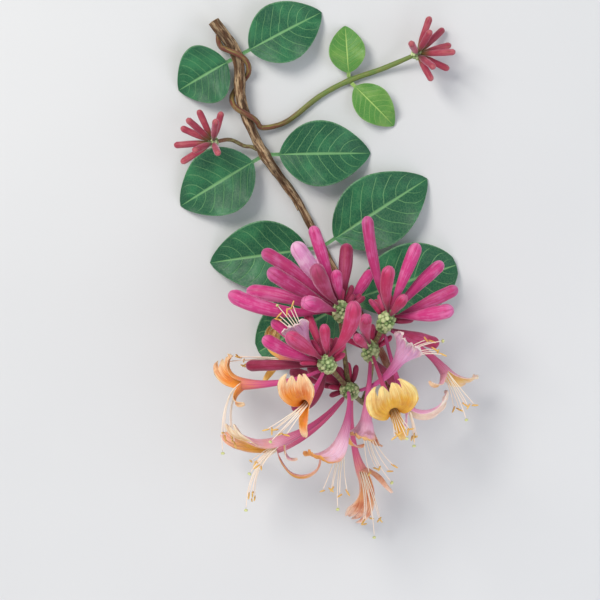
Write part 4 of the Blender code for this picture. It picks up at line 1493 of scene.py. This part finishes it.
@dataclass
class FlowerStalk:
    """The forked stalk of the head with its five whorls of green beads."""

    rows: int = 40
    sides: int = 20
    beads: int = 62
    bead: float = 1.02 * MM
    sprouts: int = 9
    sprout: float = 9.5 * MM
    sprout_girth: float = 3.0 * MM
    sprout_foot: float = 1.2 * MM
    sprout_rows: int = 20
    sprout_sides: int = 14
    apart: float = math.radians(15)
    tries: int = 260

    def free_ways(self, key: str) -> Array:
        """Directions level with or under a knob in which nothing else grows.

        Args:
            key: The whorl's letter.

        Returns:
            Up to the wanted number of unit directions, the ones nearest the whorl's axis first.
        """
        centre, basis = knob_frame(WHORLS[key])
        taken = [unit(at(bud.tip) - centre) for bud in BUDS.values() if bud.whorl == key]
        taken += [unit(at(flower.via) - centre) for flower in FLOWERS.values() if flower.whorl == key]
        for start, end, _ in STALKS:
            if key in (start, end):
                taken.append(unit(branch_end(start) + branch_end(end) - 2 * centre))
        ways = golden_ball(1 - 1.5 * (np.arange(self.tries) + 0.5) / self.tries) @ basis
        found: list[Array] = []
        for way in ways[ways[:, 2] < 0.12]:
            nearest = np.max(np.array(taken + found) @ way)
            if len(found) < self.sprouts and nearest < math.cos(self.apart):
                found.append(way)
        return np.array(found)

    def add_sprouts(self, skin: Skin, key: str, seed: int) -> None:
        """Adds small undeveloped buds, upright on the knob, where no larger one grows.

        Args:
            skin: The surface that they join.
            key: The whorl's letter.
            seed: Where the pattern of their lengths begins.
        """
        whorl = WHORLS[key]
        t = tip_spacing(self.sprout_rows)
        for k, way in enumerate(self.free_ways(key)):
            foot = knob_surface(whorl, 0.0, at(whorl.centre) + way * 0.1) - self.sprout_foot * way
            length = self.sprout * (0.62 + 0.38 * math.sin(2.1 * k + seed) ** 2)
            bow = 0.12 * length * np.cross(way, unit(whorl.axis))
            line = quadratic(foot, foot + 0.5 * length * way + bow, foot + length * way, t)
            radii = 0.78 * bud_radii(t, length, self.sprout_girth)
            add_bud(skin, line, radii, k, self.sprout_sides, k % 2)

    def build(self) -> None:
        """Makes the branches, and then the knobs with their beads."""
        stalk = Skin()
        share = np.linspace(0, 1, self.rows)
        for start, end, bow in STALKS:
            first, last = branch_end(start), branch_end(end)
            via = (first + last) / 2 + np.array(bow) * MM
            radii = STALK_RADIUS * (1 + 0.12 * np.cos(2 * math.pi * share))
            stalk.add_rod(quadratic(first, via, last, share), radii, self.sides, (1.0, 0.2, 0.0))
        piece("stalk_branches", stalk, [STALK], "green_stem", "flower_stalk")
        for seed, (key, whorl) in enumerate(WHORLS.items()):
            knob = Skin()
            core(knob, whorl, 0.86 * KNOB_RADIUS, 0.88 * KNOB_HALF)
            bead_cluster(knob, whorl, 0.80 * KNOB_RADIUS, 0.84 * KNOB_HALF, self.beads, self.bead, seed + 5)
            piece("whorl_" + key, knob, [BEADS], "green_stem")
            sprouts = Skin()
            self.add_sprouts(sprouts, key, seed)
            piece("sprouts_" + key, sprouts, [bud_finish(BudTone.ROSE), bud_finish(BudTone.MAROON)], "bud")


@dataclass
class YoungClusters:
    """The two small clusters in bud beside the leaves."""

    buds: int = 9
    rows: int = 34
    sides: int = 20
    beads: int = 26
    bead: float = 0.75 * MM
    stalk: float = 0.8 * MM
    stalk_rows: int = 30
    stalk_sides: int = 16

    def strands(self, whorl: Whorl) -> list[tuple[Array, Array]]:
        """Where the small buds of a cluster grow, spread by the golden angle.

        Args:
            whorl: The cluster's knob.

        Returns:
            For each bud its straight middle line and its radii.
        """
        centre, axis = at(whorl.centre), unit(whorl.axis)
        side = unit(np.cross(axis, UPWARDS))
        up = np.cross(side, axis)
        t = tip_spacing(self.rows)
        made = []
        for k in range(self.buds):
            spread = math.radians(14 + 52 * math.sqrt(k / (self.buds - 1)))
            turn = k * GOLDEN_TURN
            way = math.cos(spread) * axis + math.sin(spread) * (math.cos(turn) * side + math.sin(turn) * up)
            foot = centre + 0.7 * YOUNG_KNOB * way
            length = YOUNG_LENGTH * (1 - 0.12 * (k % 3))
            made.append((foot + t[:, None] * length * way, bud_radii(t, length, 2 * YOUNG_GIRTH)))
        return made

    def build(self) -> None:
        """Makes the buds and the beads at their feet, and the stalk of the left cluster."""
        for seed, (name, whorl) in enumerate(YOUNG_CLUSTERS.items()):
            skin = Skin()
            for k, (points, radii) in enumerate(self.strands(whorl)):
                add_bud(skin, points, radii, k + seed, self.sides)
            piece("buds_of_" + name, skin, [bud_finish(BudTone.YOUNG)], "bud", name)
            base = Skin()
            core(base, whorl, 0.8 * YOUNG_KNOB, 0.8 * YOUNG_KNOB)
            reach = 0.75 * YOUNG_KNOB
            bead_cluster(base, whorl, reach, reach, self.beads, self.bead, seed + 21)
            piece("base_of_" + name, base, [BEADS], "green_stem")
        line = line_through(YOUNG_STALK, self.stalk_rows)
        stalk = Skin()
        stalk.add_rod(line, np.full(self.stalk_rows, self.stalk), self.stalk_sides, UPWARDS)
        piece("young_stalk", stalk, [STALK], "green_stem")


@dataclass
class Stems:
    """The woody vine and the green shoot that twines round it."""

    rows: int = 480
    sides: int = 60
    fine_rows: int = 600
    twine_rows: int = 26
    shoot_rows: int = 270
    shoot_sides: int = 20
    swell: float = 0.30 * MM
    fibre: float = 0.34 * MM
    nose: float = 1.7 * MM
    strips: int = 16
    strip_wall: float = 0.12 * MM

    def girth(self, share: Array) -> Array:
        """The vine's radius, which falls evenly up to share 0.55 and then stays the same."""
        return WOOD_RADIUS + (VINE_RADIUS - WOOD_RADIUS) * np.minimum(share / 0.55, 1)

    def relief(self, rows: int, sides: int, amount: float, seed: int) -> Array:
        """Lengthwise fibres: a sum of waves |sin(k a + b + w t)|, with k whole so that they close.

        Args:
            rows: Rows along the stem, over which t goes once round.
            sides: Columns round it, over which the turn a does.
            amount: About how high the fibres stand.
            seed: What the waves' shifts b and slants w are drawn from.

        Returns:
            A height for each row and column.
        """
        draw = np.random.default_rng(seed)
        turn = 2 * math.pi * around(sides)
        t = np.linspace(0, 2 * math.pi, rows)[:, None]
        waves = [
            np.abs(np.sin(k * turn + draw.uniform(0, 6) + draw.uniform(2, 9) * t)) / (1 + 0.1 * k)
            for k in (2, 3, 4, 6, 9, 13)
        ]
        lumps = [np.sin(draw.uniform(0, 6) + w * t) for w in (5, 11, 23)]
        return amount * (sum(waves) + 0.6 * sum(lumps)) / 3

    def vine(self) -> None:
        """The vine: its radius falls to the flowering end and swells at each pair of leaves.

        The rings s of the cut face are foot + s (rim - foot), less (0.25 mm (1 - s^2) - 0.05 mm cos 22s)
        (1 - s^4) along the vine. The flowering end is a rounded nose, n sqrt(1 - s^2) high.
        """
        line = line_through(VINE_PATH, self.rows)
        ways = tangents(line)
        share = np.linspace(0, 1, self.rows)
        radii = self.girth(share)
        for node in (FIRST_NODE, SECOND_NODE, THIRD_NODE):
            radii = radii + self.swell * hump(line, at(node), 2.4 * MM)
        wide = radii[:, None] + self.relief(self.rows, self.sides, self.fibre, 3) - 0.24 * MM
        grid = carried_ring(line, np.maximum(wide, 0.8 * radii[:, None]), self.sides, UPWARDS)
        grid[..., 2] = np.maximum(grid[..., 2], 0.0)
        skin = Skin()
        spans = around(self.sides)
        skin.add(grid, share[:, None], spans)
        rings = np.linspace(1, 0, 12)[:, None, None]
        bulge = 0.25 * MM * (1 - rings**2) - 0.05 * MM * np.cos(rings * 22)
        face = line[0] + rings * (grid[0] - line[0])[None] - bulge * (1 - rings**4) * ways[0]
        skin.add(face, rings[..., 0] * 0.9, spans, slot=1)
        rings = np.cos(np.linspace(0, math.pi / 2, 12))[:, None, None]
        end = line[-1] + rings * (grid[-1] - line[-1])[None] + self.nose * np.sqrt(1 - rings**2) * ways[-1]
        skin.add(end, 1 + 0.03 * (1 - rings[..., 0]), spans)
        piece("vine", skin, [BARK, WOOD], "bark", "vine_stem")

    def peelings(self) -> None:
        """Strips of old bark that lift from the vine.

        Each strip follows a line along the vine at a turn a that drifts a little, is narrow at both
        ends, and has a thin wall. It stands at radius + 0.1 mm + lift times the 2.2 power of its share.
        """
        draw = np.random.default_rng(17)
        line = line_through(VINE_PATH, self.fine_rows)
        places = np.linspace(0, 1, self.fine_rows)
        frame = (line, *cross_frame(line, UPWARDS))
        t = np.linspace(0, 1, 18)
        wide = 0.30 * np.sin(math.pi * np.clip(t, 0.06, 0.97)) ** 0.5
        skin = Skin()
        for k in range(self.strips):
            first = draw.uniform(0.01, 0.5)
            length = draw.uniform(0.045, 0.09) * (1 if k % 2 else -1)
            share = np.clip(first + length * t, 0, 1)
            centre, across, above = (read_off(share, places, rows)[:, None] for rows in frame)
            turn = draw.uniform(0.15, 0.85) * math.pi + draw.uniform(-0.5, 0.5) * t
            turns = turn[:, None] + wide[:, None] * np.linspace(-1, 1, 5)[None]
            away = np.cos(turns)[..., None] * across + np.sin(turns)[..., None] * above
            reach = self.girth(share) + 0.10 * MM + draw.uniform(0.3, 1.1) * MM * t**2.2
            top = centre + away * reach[:, None, None]
            skin.add_slab(top, top - self.strip_wall * away, share, turns / (2 * math.pi), first)
        piece("bark_strips", skin, [BARK], "bark")

    def shoot(self) -> None:
        """The shoot: a helix round the vine, which then leaves it for the right-hand cluster.

        The corner where it leaves is calmed by a running mean whose weights are exp(-(n / 6)^2).
        """
        along = np.linspace(TWINE_START, TWINE_END, self.twine_rows)
        centre = line_through(VINE_PATH, self.fine_rows)[(along * (self.fine_rows - 1)).astype(int)]
        across, above = cross_frame(centre, UPWARDS)
        phase = TWINE_PHASE + TWINE_TURNS * 2 * math.pi * np.linspace(0, 1, self.twine_rows)[:, None]
        ring = np.cos(phase) * across + np.sin(phase) * above
        twine = centre + ring * (self.girth(along) + SHOOT_RADIUS + 0.55 * MM)[:, None]
        line = smooth_path([*twine, *(at(p) for p in SHOOT_PATH), at(SHOOT_END)], self.shoot_rows)
        weights = np.exp(-((np.arange(-12, 13) / 6) ** 2))
        columns = np.pad(line, ((12, 12), (0, 0)), "edge").T
        weights /= weights.sum()
        calm = np.stack([np.convolve(column, weights, "valid") for column in columns], axis=1)
        near = hump(line, twine[-1], 5 * MM)[:, None]
        line = line * (1 - near) + calm * near
        radii = SHOOT_RADIUS * (1 - 0.2 * ease(np.linspace(0, 1, self.shoot_rows), 0.9, 1.0))
        radii = radii + 0.15 * MM * hump(line, at(SHOOT_NODE), 2 * MM)
        wide = radii[:, None] + self.relief(self.shoot_rows, self.shoot_sides, 0.05 * MM, 8) - 0.04 * MM
        skin = Skin()
        skin.add_rod(line, wide, self.shoot_sides, UPWARDS)
        piece("shoot", skin, [SHOOT], "green_stem", "twining_shoot")

    def build(self) -> None:
        """Makes both stems and the loose bark."""
        self.vine()
        self.peelings()
        self.shoot()


@dataclass
class Foliage:
    """The leaf pairs and the top pair that is joined round the stem."""

    rows: int = 90
    columns: int = 33
    wall: float = 0.36 * MM
    wave: float = 0.55 * MM
    stalk: float = 0.75 * MM
    point: float = 0.15 * MM

    def profile(self, t: Array) -> Array:
        """Half-width along a leaf as a share of the widest: (sin(pi t^0.85))^0.72, after a short stalk."""
        along = np.clip((t - 0.09) / 0.91, 0, 1)
        return np.sin(math.pi * along**0.85) ** 0.72

    def surface(self, spine: Array, halves: Array, runs: Array, seed: int) -> tuple[Array, Array]:
        """Both faces of a blade: spine + x h side + lift up, with a groove at the midrib.

        The lift is 0.16 h |x|^1.5, the groove is 0.2 mm exp(-(x / 0.07)^2), the cushions between the
        side veins rise 0.12 mm, and the margin waves three times along the leaf.

        Args:
            spine: The midrib.
            halves: Half-widths along it.
            runs: The leaf's own lengthwise coordinate, from its stalk to its tip.
            seed: Where the margin's waves begin.

        Returns:
            The upper and the lower grid.
        """
        x = np.linspace(-1, 1, self.columns)[None]
        side = unit(np.cross(tangents(spine), UPWARDS))
        half, run = halves[:, None], runs[:, None]
        broad = ease(half, 1.5 * MM, 5 * MM)
        lift = 0.16 * half * np.abs(x) ** 1.5
        groove = 0.20 * MM * np.exp(-((x / 0.07) ** 2)) * broad
        bent = 9 * run - 2.1 * np.abs(x) ** 1.3
        cushion = 0.12 * MM * np.abs(np.sin(math.pi * bent)) * broad * (1 - np.abs(x) ** 6)
        margin = self.wave * broad * x**2 * (1 + np.sin(6 * math.pi * run + seed + 0.8 * np.sign(x)))
        up = np.array(UPWARDS)
        middle = spine[:, None] + (x * half)[..., None] * side[:, None] + (lift + margin)[..., None] * up
        top = middle + (self.wall / 2 + cushion - groove)[..., None] * up
        low = middle - (self.wall / 2 + groove - cushion)[..., None] * up
        low[..., 2] = np.maximum(low[..., 2], 0.0)
        top[..., 2] = np.maximum(top[..., 2], low[..., 2] + 0.2 * MM)
        return top, low

    def blade(self, name: str, spine: Array, halves: Array, runs: Array, seed: int, finish: Finish) -> None:
        """Makes the piece of one blade.

        Args:
            name: The node that it stands for.
            spine: The midrib.
            halves: Half-widths along it.
            runs: The leaf's own lengthwise coordinate.
            seed: Where the margin's waves begin.
            finish: Its material.
        """
        skin = Skin()
        spans = np.linspace(0, 1, self.columns)[None]
        skin.add_slab(*self.surface(spine, halves, runs, seed), runs, spans, 0.5)
        piece("blade_" + name, skin, [finish], "leaf", name)

    def build(self) -> None:
        """Makes each leaf, and then the joined pair as one blade."""
        share = np.linspace(0, 1, self.rows)
        for seed, (name, leaf) in enumerate(LEAVES.items()):
            node, tip = at(leaf.node), at(leaf.tip)
            level = unit((tip - node) * [1, 1, 0])
            foot = node + level * (leaf.stem * MM + 0.6 * GAP)
            via = (foot + tip) / 2 + np.array([0, 0, 2 * leaf.rise * MM])
            spine = quadratic(foot, via, tip, share)
            halves = np.maximum(self.profile(share) * leaf.width * MM / 2, self.stalk)
            end = ease(share, 0.985, 1.0)
            halves = halves * (1 - end) + self.point * end
            self.blade(name, spine, halves, share, seed, LEAF_YOUNG if leaf.young else LEAF_OLD)
        self.joined()

    def joined(self) -> None:
        """The joined pair: one blade that runs from tip to tip and narrows where the stem passes it."""
        share = np.linspace(0.055, 1, self.rows)
        collar, left, right = at(COLLAR), at(COLLAR_LEFT), at(COLLAR_RIGHT)
        lift = np.array([0, 0, 5 * MM])
        west = quadratic(left, (left + collar) / 2 + lift, collar, share)
        east = quadratic(right, (collar + right) / 2 + lift, collar, share)[::-1]
        spine = np.vstack([west, east[1:]])
        profile = np.maximum(self.profile(0.05 + 0.95 * share), 0.28 * share)
        halves = np.concatenate([profile, profile[-2::-1]]) * COLLAR_WIDTH * MM / 2
        halves[[0, -1]] = self.point
        runs = np.concatenate([1 - share, 1 - share[-2::-1]])
        self.blade("joined_leaves", spine, halves, runs, 4, LEAF_OLD)


@dataclass
class Stage:
    """The pale floor, the soft lights and the camera over the plant.

    reach is the camera's height over the place in its sight, half is half the floor's side, and drop is
    how far the floor lies under the plant.
    """

    reach: float = 1.5
    lens: float = 225.0
    sight: Place = (300, 300, 33)
    half: float = 3.0
    drop: float = 0.2 * MM

    def floor(self) -> None:
        """A wide pale floor with a faint mottle."""
        mesh = bpy.data.meshes.new("floor")
        ring = ((-1, -1), (1, -1), (1, 1), (-1, 1))
        mesh.from_pydata([(self.half * x, self.half * y, -self.drop) for x, y in ring], [], [(0, 1, 2, 3)])
        made = placed("floor", mesh)
        paint, graph, shader = new_material("floor")
        colour = graph.blend(graph.noise(6, 3), shade((206, 208, 210)), shade((214, 216, 217)))
        for title, value in (("Base Color", colour), ("Roughness", 0.75), ("Specular IOR Level", 0.2)):
            graph.feed(shader[title], value)
        mesh.materials.append(paint)

    def light(self, name: str, place: Place, size: float, power: float, colour: Rgb) -> None:
        """One square soft light that faces the plant.

        Args:
            name: Its name.
            place: Where it hangs, in metres.
            size: Its side.
            power: Its power in watts.
            colour: Its colour.
        """
        lamp = bpy.data.lights.new(name, "AREA")
        lamp.size = size
        lamp.energy = power
        lamp.color = shade(colour)[:3]
        made = placed(name, lamp)
        made.location = place
        aim = -np.asarray(place, float)
        pitch = math.atan2(math.hypot(aim[0], aim[1]), -aim[2])
        made.rotation_euler = (pitch, 0, math.atan2(aim[1], aim[0]) - math.pi / 2)

    def camera(self) -> None:
        """A long lens that looks straight down, with the top of the view towards the cut end."""
        lens = bpy.data.cameras.new("camera")
        lens.lens = self.lens
        lens.sensor_width = 36
        lens.clip_start = 0.05
        made = placed("camera", lens)
        made.location = at(self.sight) + [0, 0, self.reach]
        bpy.context.scene.camera = made

    def build(self) -> None:
        """Sets the floor, three lights, the even sky and the camera."""
        self.floor()
        self.light("key", (-0.55, 0.55, 0.9), 0.5, 10.2, (255, 250, 242))
        self.light("fill", (0.8, -0.2, 0.7), 0.9, 3.6, (240, 246, 255))
        self.light("rim", (0.1, -0.9, 0.5), 0.6, 3.0, (255, 246, 250))
        world = bpy.data.worlds.new("studio")
        world.use_nodes = True
        sky = world.node_tree.nodes["Background"].inputs
        sky["Color"].default_value = (0.92, 0.95, 1.0, 1.0)
        sky["Strength"].default_value = 0.47
        bpy.context.scene.world = world
        bpy.context.scene.view_settings.view_transform = "Standard"
        self.camera()


def main() -> None:
    """Builds the plant round the solid model, piece by piece."""
    logging.basicConfig(level=logging.INFO, format="%(message)s")
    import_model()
    Stage().build()
    Stems().build()
    Foliage().build()
    FlowerStalk().build()
    YoungClusters().build()
    Buds().build()
    for seed, (name, flower) in enumerate(FLOWERS.items()):
        pleat, twist = RUFFLES.get(name, 0.24) * MM, math.radians(TWISTS.get(name, 0))
        corolla = Corolla(name, flower, seed, pleat, twist)
        corolla.build()
        Stamens(corolla).build()


if __name__ == "__main__":
    main()
